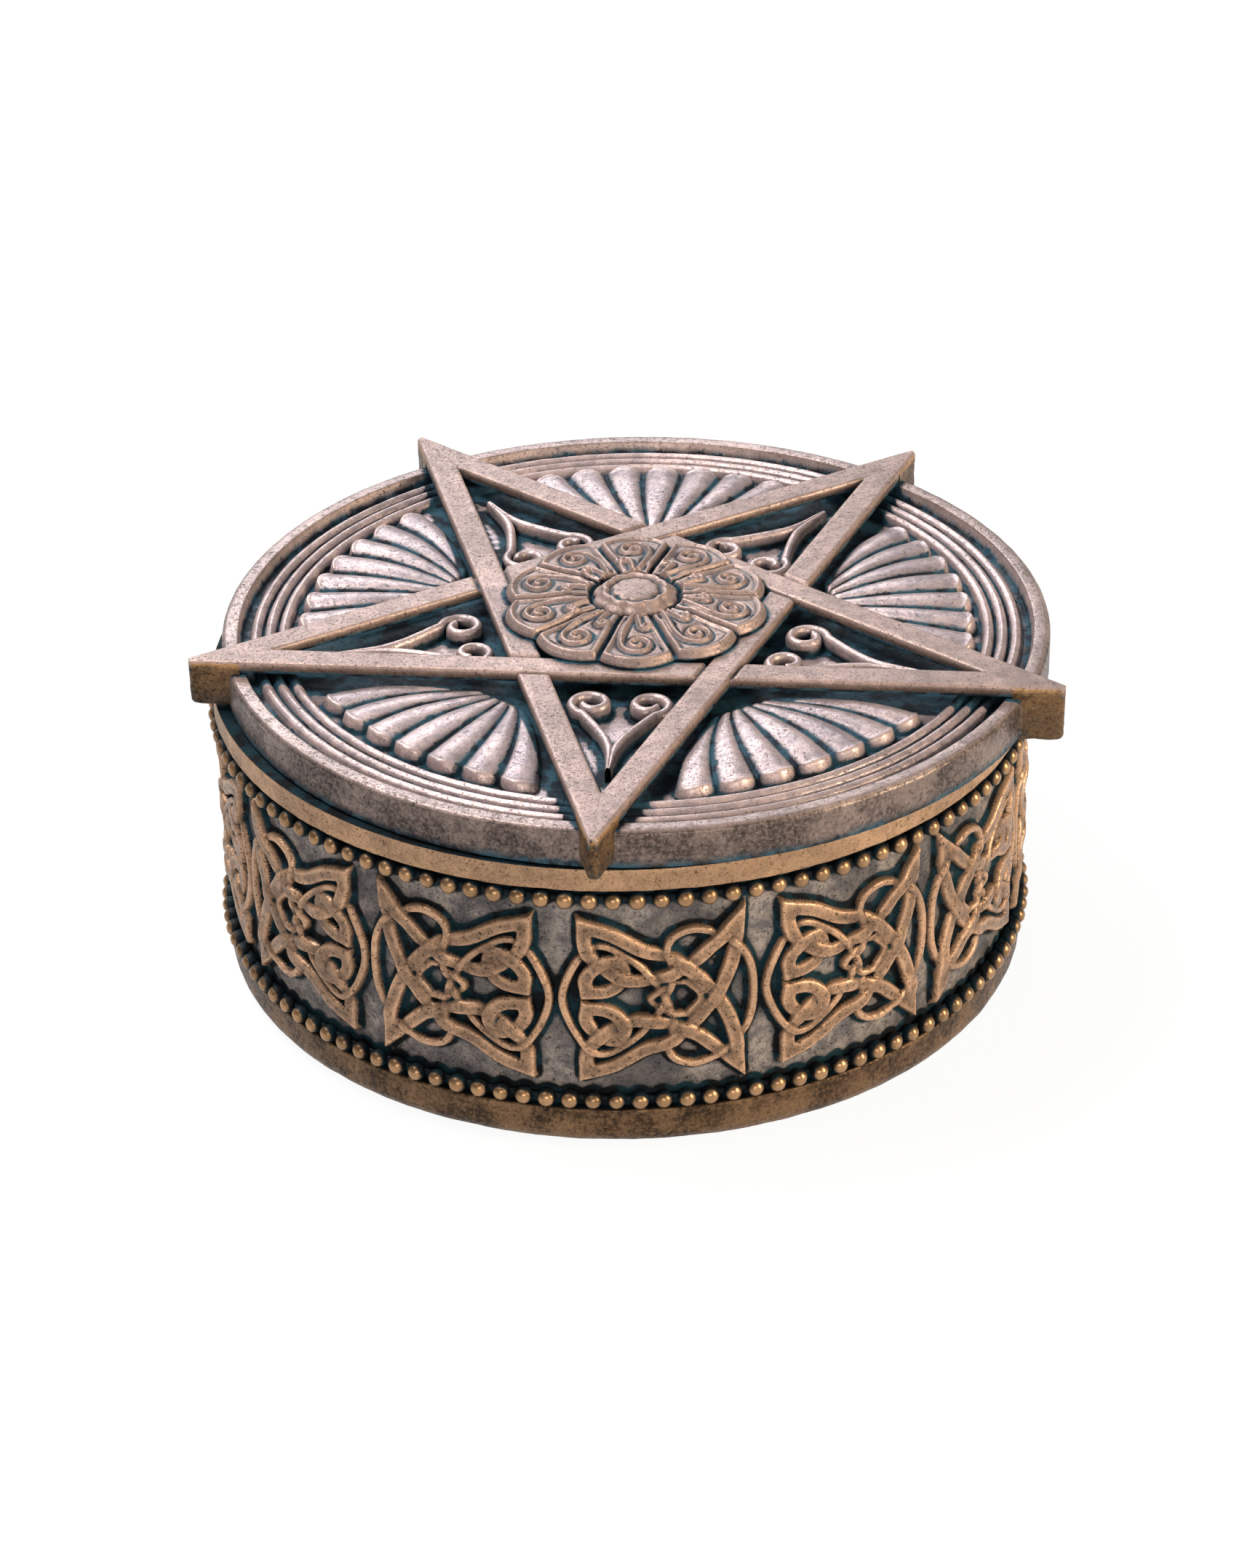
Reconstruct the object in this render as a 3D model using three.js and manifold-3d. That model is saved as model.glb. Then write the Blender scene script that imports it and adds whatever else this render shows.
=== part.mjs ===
// Round trinket box with a lift-off lid, cast in resin with a bronze finish.
// Millimetres, +Z up. The origin is the middle of the felt's flat underside.
// The cup carries two rows of beads and a band of woven knot panels. The lid carries a woven
// five-pointed star whose points stand out past the edge, with leaf fans and scrolls between its bars.
import * as THREE from 'three';
import { mergeVertices } from 'three/addons/utils/BufferGeometryUtils.js';
import Module from 'manifold-3d';

const wasm = await Module();
wasm.setup();

// Fits
const SEAT_GAP = 0.3;
const GLUE_GAP = 0.05;

// Cup
const TURN_STEPS = 54;
const WALL_RADIUS = 52.2;
const CUP_HEIGHT = 41.1;
const CUP_WALL = 4.7;
const CUP_FLOOR = 3.4;
const FLOOR_FILLET = 2.5;
const FOOT_TUCK = 1.3;
const FOOT_ROUND = 1.6;
const BAND_PROUD = 1.2;
const FOOT_BAND_TOP = 5.6;
const RIM_PROUD = 1.5;
const RIM_BAND_HEIGHT = 3.2;
const EDGE_CHAMFER = 0.4;

// Felt under the cup
const FELT_INSET = 3.9;
const FELT_THICKNESS = 1.0;
const FELT_PROUD = 0.4;

// Beads
const BEAD_COUNT = 114;
const BEAD_DIAMETER = 2.3;
const BEAD_PROUD = 1.9;
const BEAD_STRING = 0.9;

// Knot panels
const PANEL_COUNT = 13;
const FIRST_PANEL_ANGLE = 274.3;
const MIRRORED_FROM = 2;
const PANEL_GAP = 0.5;
const PANEL_MARGIN = 0.8;
const RIBBON_WIDTH = 2.0;
const RING_WIDTH = 1.25;
const RIBBON_HEIGHT = 1.0;
const RING_HEIGHT = 0.9;
const CROSSING_RISE = 0.5;
const RIBBON_TOLERANCE = 0.6;
const CORNER_CLEARANCE = 3.2;
const LONGEST_MITRE = 2.6;

// Lid
const LID_OVERHANG = 0.3;
const LID_SLIP_X = 1.97;
const LID_SLIP_Y = 0.16;
const LID_EDGE_HEIGHT = 5.2;
const LID_THICKNESS = 3.0;
const UNDERSIDE_RISE = 0.2;
const LID_RIM_WIDTH = 2.6;
const GROOVE_WIDTH = 0.9;
const REED_COUNT = 3;
const REED_PITCH = 1.8;
const REED_HEIGHT = 0.9;
const REED_LAND = 0.5;
const LIP_WALL = 2.6;
const LIP_DEPTH = 2.8;
const LIP_PLAY = 2.4;

// Star
const STAR_ANGLE = 48.4;
const TIP_PAST_LID = 4.7;
const STAR_BAR_WIDTH = 3.9;
const STAR_RISE = 1.8;
const STAR_STEP = 0.5;
const STAR_STEP_MARGIN = 1.2;
const TIP_BLOCK_DROPS = [6.1, 6.1, 6.4, 6.1, 7.7];

// Ornament on the lid
const ROSETTE_PETALS = 10;
const ROSETTE_INSET = 3.1;
const ROSETTE_HEIGHT = 2.0;
const ROSETTE_LOBE = 1.6;
const PETAL_CREST_AT = 0.62;
const PETAL_CREST = 0.8;
const BOSS_FOOT_AT = 0.36;
const BOSS_FOOT = 0.5;
const BOSS_EDGE_AT = 0.3;
const BOSS_CROWN = 1.2;
const FAN_START = 5.9;
const FAN_SPREAD = 25;
const FAN_FLUTES = 7;
const FAN_ROWS = 4;
const FAN_HEIGHT = 2.1;
const FAN_FLUTE_SHARE = 0.4;
const FAN_SCALLOP = 0.8;
const FAN_WAIST = 0.3;
const FAN_ROOT_SHARE = 0.55;
const FAN_CROWN_AT = 0.6;
const FAN_SIDE_DROP = 0.35;
const SCROLL_STRAND = 1.2;
const SCROLL_HEIGHT = 2.0;
const SCROLL_STEPS = 11;
const SCROLL_TURNS = 1.15;
const SCROLL_FIRST_TURN = 20;
const SCROLL_CLOSING = 0.6;
const SCROLL_APART = 0.5;
const SCROLL_STEM_ROOM = 8.5;

// Places worked out from the sizes above
const bandRadius = WALL_RADIUS + BAND_PROUD;
const footRadius = bandRadius - FOOT_TUCK;
const rimRadius = WALL_RADIUS + RIM_PROUD;
const feltRadius = footRadius - FELT_INSET;
const recessRadius = feltRadius + SEAT_GAP;
const recessTop = FELT_THICKNESS + GLUE_GAP;
const cupFloorTop = recessTop + CUP_FLOOR;
const boreRadius = WALL_RADIUS - CUP_WALL;
const rimBandBottom = CUP_HEIGHT - RIM_BAND_HEIGHT;
const beadRadius = BEAD_DIAMETER / 2;
const lowerBeadZ = FOOT_BAND_TOP + SEAT_GAP + beadRadius;
const upperBeadZ = rimBandBottom - SEAT_GAP - beadRadius;
const reliefRadius = WALL_RADIUS + SEAT_GAP;
const panelBottom = lowerBeadZ + beadRadius + PANEL_MARGIN;
const panelTop = upperBeadZ - beadRadius - PANEL_MARGIN;
const panelHalfHeight = (panelTop - panelBottom) / 2;
const panelMiddle = (panelTop + panelBottom) / 2;
const panelHalfWidth = Math.PI * reliefRadius / PANEL_COUNT - PANEL_GAP / 2;

const lidRadius = rimRadius + LID_OVERHANG;
const lidBottom = CUP_HEIGHT + SEAT_GAP;
const lidRimTop = lidBottom + LID_EDGE_HEIGHT;
const dishTop = lidBottom + LID_THICKNESS + UNDERSIDE_RISE;
const dishEdge = lidRadius - LID_RIM_WIDTH - GROOVE_WIDTH - REED_COUNT * REED_PITCH;
const lipRadius = boreRadius - LIP_PLAY;
const starTop = lidRimTop + STAR_RISE;
const starBottom = lidRimTop + SEAT_GAP;
const ornamentBottom = dishTop + SEAT_GAP;
const starReach = lidRadius;
const tipHalfAngle = Math.PI / 10;
const mitre = STAR_BAR_WIDTH / 2 / Math.sin(tipHalfAngle);
const windowBase = starReach * Math.sin(tipHalfAngle) + STAR_BAR_WIDTH / 2;
const windowApex = starReach - mitre;
const crossingReach = starReach * Math.sin(tipHalfAngle) / Math.cos(2 * tipHalfAngle);
const rosetteRadius = crossingReach - ROSETTE_INSET;
const fanInner = crossingReach + FAN_START;

// The widest pair of equal scrolls that fits side by side in an arm's window
const scrollRoom = SEAT_GAP + SCROLL_STRAND / 2;
const scrollRadius = ((windowApex - windowBase - scrollRoom) * Math.sin(tipHalfAngle)
  - (SCROLL_STRAND + SCROLL_APART) / 2 * Math.cos(tipHalfAngle) - scrollRoom)
  / (1 + Math.sin(tipHalfAngle) + Math.cos(tipHalfAngle)) - SEAT_GAP / 2;

const radians = THREE.MathUtils.degToRad;

// Geometry to solid and back
function toSolid(geometry) {
  const bare = geometry.clone();
  bare.deleteAttribute('normal');
  bare.deleteAttribute('uv');
  const merged = mergeVertices(bare, 1e-4);
  const index = merged.index.array;
  const faces = [];
  for (let i = 0; i < index.length; i += 3) {
    const [a, b, c] = [index[i], index[i + 1], index[i + 2]];
    if (a !== b && b !== c && c !== a) faces.push(a, b, c);
  }
  const vertProperties = Float32Array.from(merged.attributes.position.array);
  const triVerts = Uint32Array.from(faces);
  return new wasm.Manifold(new wasm.Mesh({ numProp: 3, vertProperties, triVerts }));
}

function toGeometry(solid) {
  const mesh = solid.getMesh();
  const geometry = new THREE.BufferGeometry();
  geometry.setAttribute('position', new THREE.BufferAttribute(mesh.vertProperties, 3));
  geometry.setIndex(new THREE.BufferAttribute(mesh.triVerts, 1));
  geometry.computeVertexNormals();
  return geometry;
}

// Turned solid: profile points are [radius, z], up the outside and back down the inside
function turned(profile) {
  const points = profile.map(([r, z]) => new THREE.Vector2(r, z));
  return new THREE.LatheGeometry(points, TURN_STEPS).rotateX(Math.PI / 2);
}

// Flat outline in the XY plane raised between two heights
function raised(outline, bottom, top) {
  const shape = new THREE.Shape(outline.map(([x, y]) => new THREE.Vector2(x, y)));
  const geometry = new THREE.ExtrudeGeometry(shape, { depth: top - bottom, bevelEnabled: false });
  return geometry.translate(0, 0, bottom);
}

// Closed skin over a row of sections, each a loop of as many points
function lofted(sections, ring) {
  const sides = sections[0].length;
  const positions = sections.flat().flatMap((p) => [p.x, p.y, p.z]);
  const index = [];
  const spans = ring ? sections.length : sections.length - 1;
  for (let i = 0; i < spans; i += 1) {
    const near = i * sides;
    const far = ((i + 1) % sections.length) * sides;
    for (let k = 0; k < sides; k += 1) {
      const next = (k + 1) % sides;
      index.push(near + k, near + next, far + next, near + k, far + next, far + k);
    }
  }
  if (!ring) {
    const last = (sections.length - 1) * sides;
    for (let k = 1; k < sides - 1; k += 1) {
      index.push(0, k + 1, k, last, last + k, last + k + 1);
    }
  }
  const geometry = new THREE.BufferGeometry();
  geometry.setAttribute('position', new THREE.Float32BufferAttribute(positions, 3));
  geometry.setIndex(index);
  return facingOut(geometry);
}

// Turns a closed skin the right way round when it was wound inside out
function facingOut(geometry) {
  const p = geometry.attributes.position;
  const index = geometry.index.array;
  const corner = (i) => new THREE.Vector3().fromBufferAttribute(p, index[i]);
  let volume = 0;
  for (let i = 0; i < index.length; i += 3) {
    volume += corner(i).dot(corner(i + 1).cross(corner(i + 2)));
  }
  if (volume < 0) {
    for (let i = 0; i < index.length; i += 3) {
      [index[i + 1], index[i + 2]] = [index[i + 2], index[i + 1]];
    }
  }
  return geometry;
}

// Knot strands
// Each strand is a list of runs, and a run is a smooth line between two sharp corners, in shares
// of the panel's half width and half height. A strand with one closed run has no corner.
const flipY = (run) => run.map(([x, y]) => [x, -y]);
const backwards = (run) => [...run].reverse();

const cornerTopLeft = [-0.72, 0.84];
const cornerTopRight = [0.78, 0.82];
const longRun = [
  cornerTopLeft, [-0.45, 0.75], [-0.17, 0.58], [0.08, 0.49], [0.27, 0.36],
  [0.52, 0.06], [0.68, -0.24], [0.76, -0.52], [cornerTopRight[0], -cornerTopRight[1]],
];
const shortRun = [
  cornerTopLeft, [-0.71, 0.62], [-0.60, 0.43], [-0.37, 0.27], [-0.12, 0.23],
  [0.16, 0.31], [0.36, 0.42], [0.55, 0.60], cornerTopRight,
];
const ribbonRuns = [
  longRun, backwards(flipY(shortRun)), flipY(longRun), backwards(shortRun),
];
const hookCorner = [-0.70, 0.09];
const hookRun = [
  hookCorner, [-0.71, 0.25], [-0.58, 0.42], [-0.43, 0.45], [-0.34, 0.34],
  [-0.38, 0.20], [-0.52, 0.11], hookCorner,
];
const RING_HALF_WIDTH = 0.95;
const RING_HALF_HEIGHT = 0.71;
const RING_POINTS = 10;
const ringRun = Array.from({ length: RING_POINTS }, (_, i) => {
  const turn = 2 * Math.PI * (i + 0.5) / RING_POINTS;
  return [RING_HALF_WIDTH * Math.cos(turn), RING_HALF_HEIGHT * Math.sin(turn)];
});
const strands = [
  { runs: ribbonRuns, width: RIBBON_WIDTH, height: RIBBON_HEIGHT },
  { runs: [ringRun], smooth: true, width: RING_WIDTH, height: RING_HEIGHT },
  { runs: [hookRun], width: RIBBON_WIDTH, height: RIBBON_HEIGHT },
  { runs: [flipY(hookRun)], width: RIBBON_WIDTH, height: RIBBON_HEIGHT },
];

// Fine polyline of a strand in millimetres, with its sharp corners marked
function strandLine(strand) {
  const line = [];
  for (const run of strand.runs) {
    const points = run.map(([x, y]) => new THREE.Vector3(x * panelHalfWidth, y * panelHalfHeight, 0));
    const curve = new THREE.CatmullRomCurve3(points, strand.smooth === true, 'catmullrom', 0.5);
    const fine = curve.getPoints(points.length * 6).slice(0, -1);
    fine.forEach((p, i) => line.push({ x: p.x, y: p.y, sharp: i === 0 && !strand.smooth }));
  }
  return line;
}

// Where two segments cross, as shares along each, or null
function segmentCrossing(a, b, c, d) {
  const [rx, ry, sx, sy] = [b.x - a.x, b.y - a.y, d.x - c.x, d.y - c.y];
  const turn = rx * sy - ry * sx;
  if (Math.abs(turn) < 1e-9) return null;
  const t = ((c.x - a.x) * sy - (c.y - a.y) * sx) / turn;
  const u = ((c.x - a.x) * ry - (c.y - a.y) * rx) / turn;
  return t >= 0 && t < 1 && u >= 0 && u < 1 ? { t, u } : null;
}

// Every crossing of the panel's lines, as pairs of visits
function crossingVisits(lines) {
  const visits = [];
  const meet = (i, m, j, n) => {
    const [p, q] = [lines[i], lines[j]];
    const hit = segmentCrossing(p[m], p[(m + 1) % p.length], q[n], q[(n + 1) % q.length]);
    if (!hit) return;
    const first = { line: i, at: m + hit.t };
    const second = { line: j, at: n + hit.u, partner: first };
    first.partner = second;
    visits.push(first, second);
  };
  lines.forEach((p, i) => lines.forEach((q, j) => {
    if (j < i) return;
    for (let m = 0; m < p.length; m += 1) {
      for (let n = i === j ? m + 2 : 0; n < q.length; n += 1) {
        if (i !== j || n - m < p.length - 1) meet(i, m, j, n);
      }
    }
  }));
  return visits;
}

// Alternate over and under along every line, from one first choice
function weave(lines) {
  const visits = crossingVisits(lines);
  const order = lines.map((_, i) => visits.filter((v) => v.line === i).sort((a, b) => a.at - b.at));
  const waiting = [[visits[0], true]];
  while (waiting.length > 0) {
    const [visit, over] = waiting.pop();
    if (visit.over !== undefined) continue;
    visit.over = over;
    const row = order[visit.line];
    const k = row.indexOf(visit);
    waiting.push([visit.partner, !over]);
    waiting.push([row[(k + 1) % row.length], !over]);
    waiting.push([row[(k + row.length - 1) % row.length], !over]);
  }
  return order;
}

// Fewest points that keep a line within a tolerance, between two of its points
function straightened(line, from, to, tolerance) {
  const [a, b] = [line[from], line[to % line.length]];
  const length = Math.hypot(b.x - a.x, b.y - a.y) || 1e-9;
  let worst = 0;
  let place = -1;
  for (let i = from + 1; i < to; i += 1) {
    const p = line[i];
    const away = Math.abs((b.x - a.x) * (p.y - a.y) - (b.y - a.y) * (p.x - a.x)) / length;
    if (away > worst) [worst, place] = [away, i];
  }
  if (worst < tolerance) return [from];
  return [...straightened(line, from, place, tolerance), ...straightened(line, place, to, tolerance)];
}

// Points of a strand for its ribbon: its corners, its high points at crossings, and its bends
function ribbonPoints(line, visits) {
  const keep = new Map();
  line.forEach((p, i) => { if (p.sharp) keep.set(i, false); });
  const nearCorner = (i) => line.some((p) => p.sharp
    && Math.hypot(p.x - line[i].x, p.y - line[i].y) < CORNER_CLEARANCE);
  for (const visit of visits) {
    const i = Math.round(visit.at) % line.length;
    if (visit.over && !nearCorner(i)) keep.set(i, true);
  }
  const fixed = [...keep.keys()].sort((a, b) => a - b);
  const picked = [];
  fixed.forEach((from, k) => {
    const to = k + 1 < fixed.length ? fixed[k + 1] : fixed[0] + line.length;
    const wrapped = [...line, ...line];
    for (const i of straightened(wrapped, from, to, RIBBON_TOLERANCE)) {
      if (keep.has(i) || !nearCorner(i % line.length)) picked.push(i % line.length);
    }
  });
  return picked.map((i) => ({ ...line[i], over: keep.get(i) === true }));
}

// Half-width vector at each point of a closed line, mitred to the points before and after
function mitredOffsets(points, width) {
  return points.map((p, i) => {
    const before = points[(i + points.length - 1) % points.length];
    const after = points[(i + 1) % points.length];
    const inward = new THREE.Vector2(p.x - before.x, p.y - before.y).normalize();
    const outward = new THREE.Vector2(after.x - p.x, after.y - p.y).normalize();
    const along = inward.clone().add(outward).normalize();
    const side = new THREE.Vector2(-along.y, along.x);
    const spread = Math.max(side.dot(new THREE.Vector2(-inward.y, inward.x)), 1 / LONGEST_MITRE);
    return side.multiplyScalar(width / 2 / spread);
  });
}

// Sections of one ribbon lying flat, raised where it passes over
function ribbonSections(points, width, height) {
  const offsets = mitredOffsets(points, width);
  return points.map((p, i) => {
    const left = new THREE.Vector3(p.x - offsets[i].x, p.y - offsets[i].y, 0);
    const right = new THREE.Vector3(p.x + offsets[i].x, p.y + offsets[i].y, 0);
    const top = new THREE.Vector3(0, 0, height + (p.over ? CROSSING_RISE : 0));
    return [left, right, right.clone().add(top), left.clone().add(top)];
  });
}

// Solids of one ribbon, a length at a time, so that no solid crosses itself
function ribbonSolids(points, width, height) {
  const sections = ribbonSections(points, width, height);
  const count = points.length;
  const ends = points.map((p, i) => (p.sharp ? i : -1)).filter((i) => i >= 0);
  if (ends.length === 0) return [toSolid(lofted(sections, true))];
  if (ends.length === 1) ends.push(ends[0] + Math.floor(count / 2));
  return ends.map((from, k) => {
    const to = k + 1 < ends.length ? ends[k + 1] : ends[0] + count;
    const length = Array.from({ length: to - from + 1 }, (_, i) => sections[(from + i) % count]);
    return toSolid(lofted(length, false));
  });
}

// Wraps a flat panel round the cup: x runs along the wall, y up it and z out of it
function wrapped(geometry, side) {
  const p = geometry.attributes.position;
  for (let i = 0; i < p.count; i += 1) {
    const angle = side * p.getX(i) / reliefRadius;
    const r = reliefRadius + p.getZ(i);
    p.setXYZ(i, r * Math.cos(angle), r * Math.sin(angle), panelMiddle + p.getY(i));
  }
  return facingOut(geometry);
}

// One knot panel, its four strands woven and fused at their crossings. side is -1 when mirrored.
function knotPanel(side) {
  const lines = strands.map(strandLine);
  const order = weave(lines);
  const ribbons = strands.flatMap((strand, i) => {
    const points = ribbonPoints(lines[i], order[i]);
    return ribbonSolids(points, strand.width, strand.height);
  });
  return wrapped(toGeometry(ribbons.reduce((panel, ribbon) => panel.add(ribbon))), side);
}

// Row of beads on the thin string of metal that joins them
function beadRow(z) {
  const sections = [];
  for (let i = 0; i < BEAD_COUNT * 2; i += 1) {
    const angle = Math.PI * i / BEAD_COUNT;
    const onBead = i % 2 === 0;
    const half = onBead ? beadRadius : BEAD_STRING / 2;
    const front = reliefRadius + (onBead ? BEAD_PROUD : BEAD_STRING);
    const at = (r, up) => new THREE.Vector3(r * Math.cos(angle), r * Math.sin(angle), z + up);
    const facet = half * Math.tan(Math.PI / 8);
    sections.push([at(reliefRadius, -half), at(front, -facet), at(front, facet), at(reliefRadius, half)]);
  }
  return lofted(sections, true);
}

function cup() {
  return turned([
    [0, recessTop], [recessRadius, recessTop], [recessRadius, FELT_PROUD],
    [footRadius, FELT_PROUD], [bandRadius, FELT_PROUD + FOOT_ROUND],
    [bandRadius, FOOT_BAND_TOP - EDGE_CHAMFER], [bandRadius - EDGE_CHAMFER, FOOT_BAND_TOP],
    [WALL_RADIUS, FOOT_BAND_TOP], [WALL_RADIUS, rimBandBottom],
    [rimRadius - EDGE_CHAMFER, rimBandBottom], [rimRadius, rimBandBottom + EDGE_CHAMFER],
    [rimRadius, CUP_HEIGHT - EDGE_CHAMFER], [rimRadius - EDGE_CHAMFER, CUP_HEIGHT],
    [boreRadius, CUP_HEIGHT], [boreRadius, cupFloorTop + FLOOR_FILLET],
    [boreRadius - FLOOR_FILLET, cupFloorTop], [0, cupFloorTop],
  ]);
}

function feltPad() {
  return turned([[0, 0], [feltRadius, 0], [feltRadius, FELT_THICKNESS], [0, FELT_THICKNESS]]);
}

// Half-round reeds between the lid's rim and its dish, from the outside in
function reeds() {
  const points = [];
  for (let i = REED_COUNT; i > 0; i -= 1) {
    const outer = dishEdge + i * REED_PITCH;
    const land = dishTop + REED_LAND;
    points.push([outer, land], [outer - REED_PITCH / 2, land + REED_HEIGHT]);
  }
  points.push([dishEdge, dishTop + REED_LAND]);
  return points;
}

function lidPlate() {
  const grooveFloor = dishTop + REED_LAND;
  const rimInner = lidRadius - LID_RIM_WIDTH;
  return turned([
    [0, dishTop - LID_THICKNESS], [lipRadius - LIP_WALL, dishTop - LID_THICKNESS],
    [lipRadius - LIP_WALL, lidBottom - LIP_DEPTH],
    [lipRadius, lidBottom - LIP_DEPTH],
    [lipRadius, lidBottom], [lidRadius, lidBottom],
    [lidRadius, lidRimTop - EDGE_CHAMFER], [lidRadius - EDGE_CHAMFER, lidRimTop],
    [rimInner + EDGE_CHAMFER, lidRimTop], [rimInner, grooveFloor],
    ...reeds(), [dishEdge, dishTop], [0, dishTop],
  ]);
}

// Space that the lid keeps clear of the star: its own outline and the seat gap
function lidEnvelope() {
  const reedTop = dishTop + REED_LAND + REED_HEIGHT + SEAT_GAP;
  return toSolid(turned([
    [0, lidBottom - LIP_DEPTH], [lidRadius + SEAT_GAP, lidBottom - LIP_DEPTH],
    [lidRadius + SEAT_GAP, lidRimTop + SEAT_GAP],
    [lidRadius - LID_RIM_WIDTH - SEAT_GAP, lidRimTop + SEAT_GAP],
    [lidRadius - LID_RIM_WIDTH - SEAT_GAP, reedTop],
    [dishEdge - SEAT_GAP, reedTop], [dishEdge - SEAT_GAP, ornamentBottom], [0, ornamentBottom],
  ]));
}

const polar = (r, degrees) => [r * Math.cos(radians(degrees)), r * Math.sin(radians(degrees))];

// One bar from point to point, mitred at both ends, with a step down where it passes under
function starBar(angle) {
  const far = angle + 144;
  const bar = toSolid(raised([
    polar(starReach + mitre, angle), polar(starReach + mitre, far),
    polar(starReach - mitre, far), polar(starReach - mitre, angle),
  ].reverse(), starBottom, starTop));
  const [cx, cy] = polar(crossingReach, angle + 108);
  const stepLength = STAR_BAR_WIDTH / Math.cos(tipHalfAngle) + 2 * STAR_STEP_MARGIN;
  const step = new THREE.BoxGeometry(stepLength, 2 * STAR_BAR_WIDTH, 2 * STAR_STEP)
    .rotateZ(radians(angle + 72 + 90))
    .translate(cx, cy, starTop);
  return bar.subtract(toSolid(step));
}

// The block that hangs from a point, down past the lid's edge. One hangs lower than the others.
function tipBlock(angle, drop) {
  const back = lidRadius - LID_RIM_WIDTH;
  const point = starReach + mitre;
  const half = (point - back) * Math.tan(tipHalfAngle);
  const outline = [[point, 0], [back, half], [back, -half]];
  return toSolid(raised(outline, starTop - drop, starTop).rotateZ(radians(angle)));
}

function starLattice(envelope) {
  const angles = [0, 1, 2, 3, 4].map((i) => STAR_ANGLE + 72 * i);
  const bars = angles.map(starBar);
  const blocks = angles.map((angle, i) => tipBlock(angle, TIP_BLOCK_DROPS[i]));
  const whole = [...bars, ...blocks].reduce((star, piece) => star.add(piece));
  const cornerReach = (lidRadius + TIP_PAST_LID) / Math.cos(Math.PI / 5);
  const corners = angles.map((angle) => polar(cornerReach, angle + 36));
  const limits = toSolid(raised(corners, 0, 2 * starTop));
  return toGeometry(whole.intersect(limits).subtract(envelope));
}

// Ten-petalled rosette that fills the star's middle and laps onto its bars
function rosette() {
  const middle = crossingReach * Math.cos(2 * tipHalfAngle) - STAR_BAR_WIDTH / 2 - SEAT_GAP;
  const lap = starTop + SEAT_GAP;
  const steps = ROSETTE_PETALS * 3;
  const column = (i) => {
    const angle = 2 * Math.PI * i / steps;
    const lobe = ROSETTE_LOBE * Math.abs(Math.sin(angle * ROSETTE_PETALS / 2));
    const edge = rosetteRadius - ROSETTE_LOBE + lobe;
    const at = (r, z) => new THREE.Vector3(r * Math.cos(angle), r * Math.sin(angle), z);
    return [
      at(0, ornamentBottom), at(middle, ornamentBottom), at(middle, lap), at(edge, lap),
      at(edge * PETAL_CREST_AT, lap + ROSETTE_HEIGHT * PETAL_CREST),
      at(edge * BOSS_FOOT_AT, lap + ROSETTE_HEIGHT * BOSS_FOOT),
      at(edge * BOSS_EDGE_AT, lap + ROSETTE_HEIGHT),
      at(0, lap + ROSETTE_HEIGHT * BOSS_CROWN),
    ];
  };
  const columns = Array.from({ length: steps }, (_, i) => column(i));
  return toGeometry(toSolid(lofted(columns, true)));
}

// Fluted leaf fan that opens from the star's inner corner to the reeded border
function leafFan(angle) {
  const stations = FAN_FLUTES * 2 + 1;
  const outer = dishEdge - SEAT_GAP;
  const sections = [];
  for (let i = 0; i < stations; i += 1) {
    const across = 2 * i / (stations - 1) - 1;
    const ridge = i % 2 === 1;
    const top = [];
    const bottom = [];
    for (let j = 0; j < FAN_ROWS; j += 1) {
      const along = j / (FAN_ROWS - 1);
      const scallop = ridge ? 0 : FAN_SCALLOP * along;
      const r = fanInner + (outer - scallop - fanInner) * along;
      const spread = FAN_SPREAD * across * (FAN_WAIST + (1 - FAN_WAIST) * Math.sqrt(along));
      const swell = Math.sin(Math.PI / 2 * along / FAN_CROWN_AT);
      const crown = FAN_HEIGHT * (1 - FAN_SIDE_DROP * across * across)
        * (FAN_ROOT_SHARE + (1 - FAN_ROOT_SHARE) * swell);
      const [x, y] = polar(r, angle + spread);
      bottom.push(new THREE.Vector3(x, y, ornamentBottom));
      top.push(new THREE.Vector3(x, y, ornamentBottom + crown * (ridge ? 1 : 1 - FAN_FLUTE_SHARE)));
    }
    sections.push([...bottom, ...backwards(top)]);
  }
  return lofted(sections, false);
}

// Pair of scrolls on one stem in an arm of the star, drawn as one lyre
function armScroll(angle) {
  const spiral = (side) => {
    const apart = scrollRadius + (SCROLL_STRAND + SCROLL_APART) / 2;
    const centre = new THREE.Vector2(windowBase + scrollRoom + scrollRadius, side * apart);
    const stemTop = windowApex - SCROLL_STEM_ROOM;
    const points = [new THREE.Vector2(stemTop, 0)];
    points.push(new THREE.Vector2((stemTop + centre.x + scrollRadius) / 2, side * SCROLL_STRAND / 2));
    for (let i = 0; i <= SCROLL_STEPS; i += 1) {
      const share = i / SCROLL_STEPS;
      const turn = side * (radians(SCROLL_FIRST_TURN) + share * SCROLL_TURNS * 2 * Math.PI);
      const r = scrollRadius * (1 - SCROLL_CLOSING * share);
      points.push(new THREE.Vector2(centre.x + r * Math.cos(turn), centre.y + r * Math.sin(turn)));
    }
    const sections = points.map((p, i) => {
      const before = points[Math.max(i - 1, 0)];
      const after = points[Math.min(i + 1, points.length - 1)];
      const along = after.clone().sub(before).normalize();
      const half = SCROLL_STRAND / 2 * (i === 0 ? 0.5 : 1);
      const [dx, dy] = [-along.y * half, along.x * half];
      const [low, high] = [ornamentBottom, ornamentBottom + SCROLL_HEIGHT];
      return [
        new THREE.Vector3(p.x - dx, p.y - dy, low), new THREE.Vector3(p.x + dx, p.y + dy, low),
        new THREE.Vector3(p.x + dx, p.y + dy, high), new THREE.Vector3(p.x - dx, p.y - dy, high),
      ];
    });
    return toSolid(lofted(sections, false));
  };
  const pair = spiral(1).add(spiral(-1));
  return toGeometry(pair).rotateZ(radians(angle));
}

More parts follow.
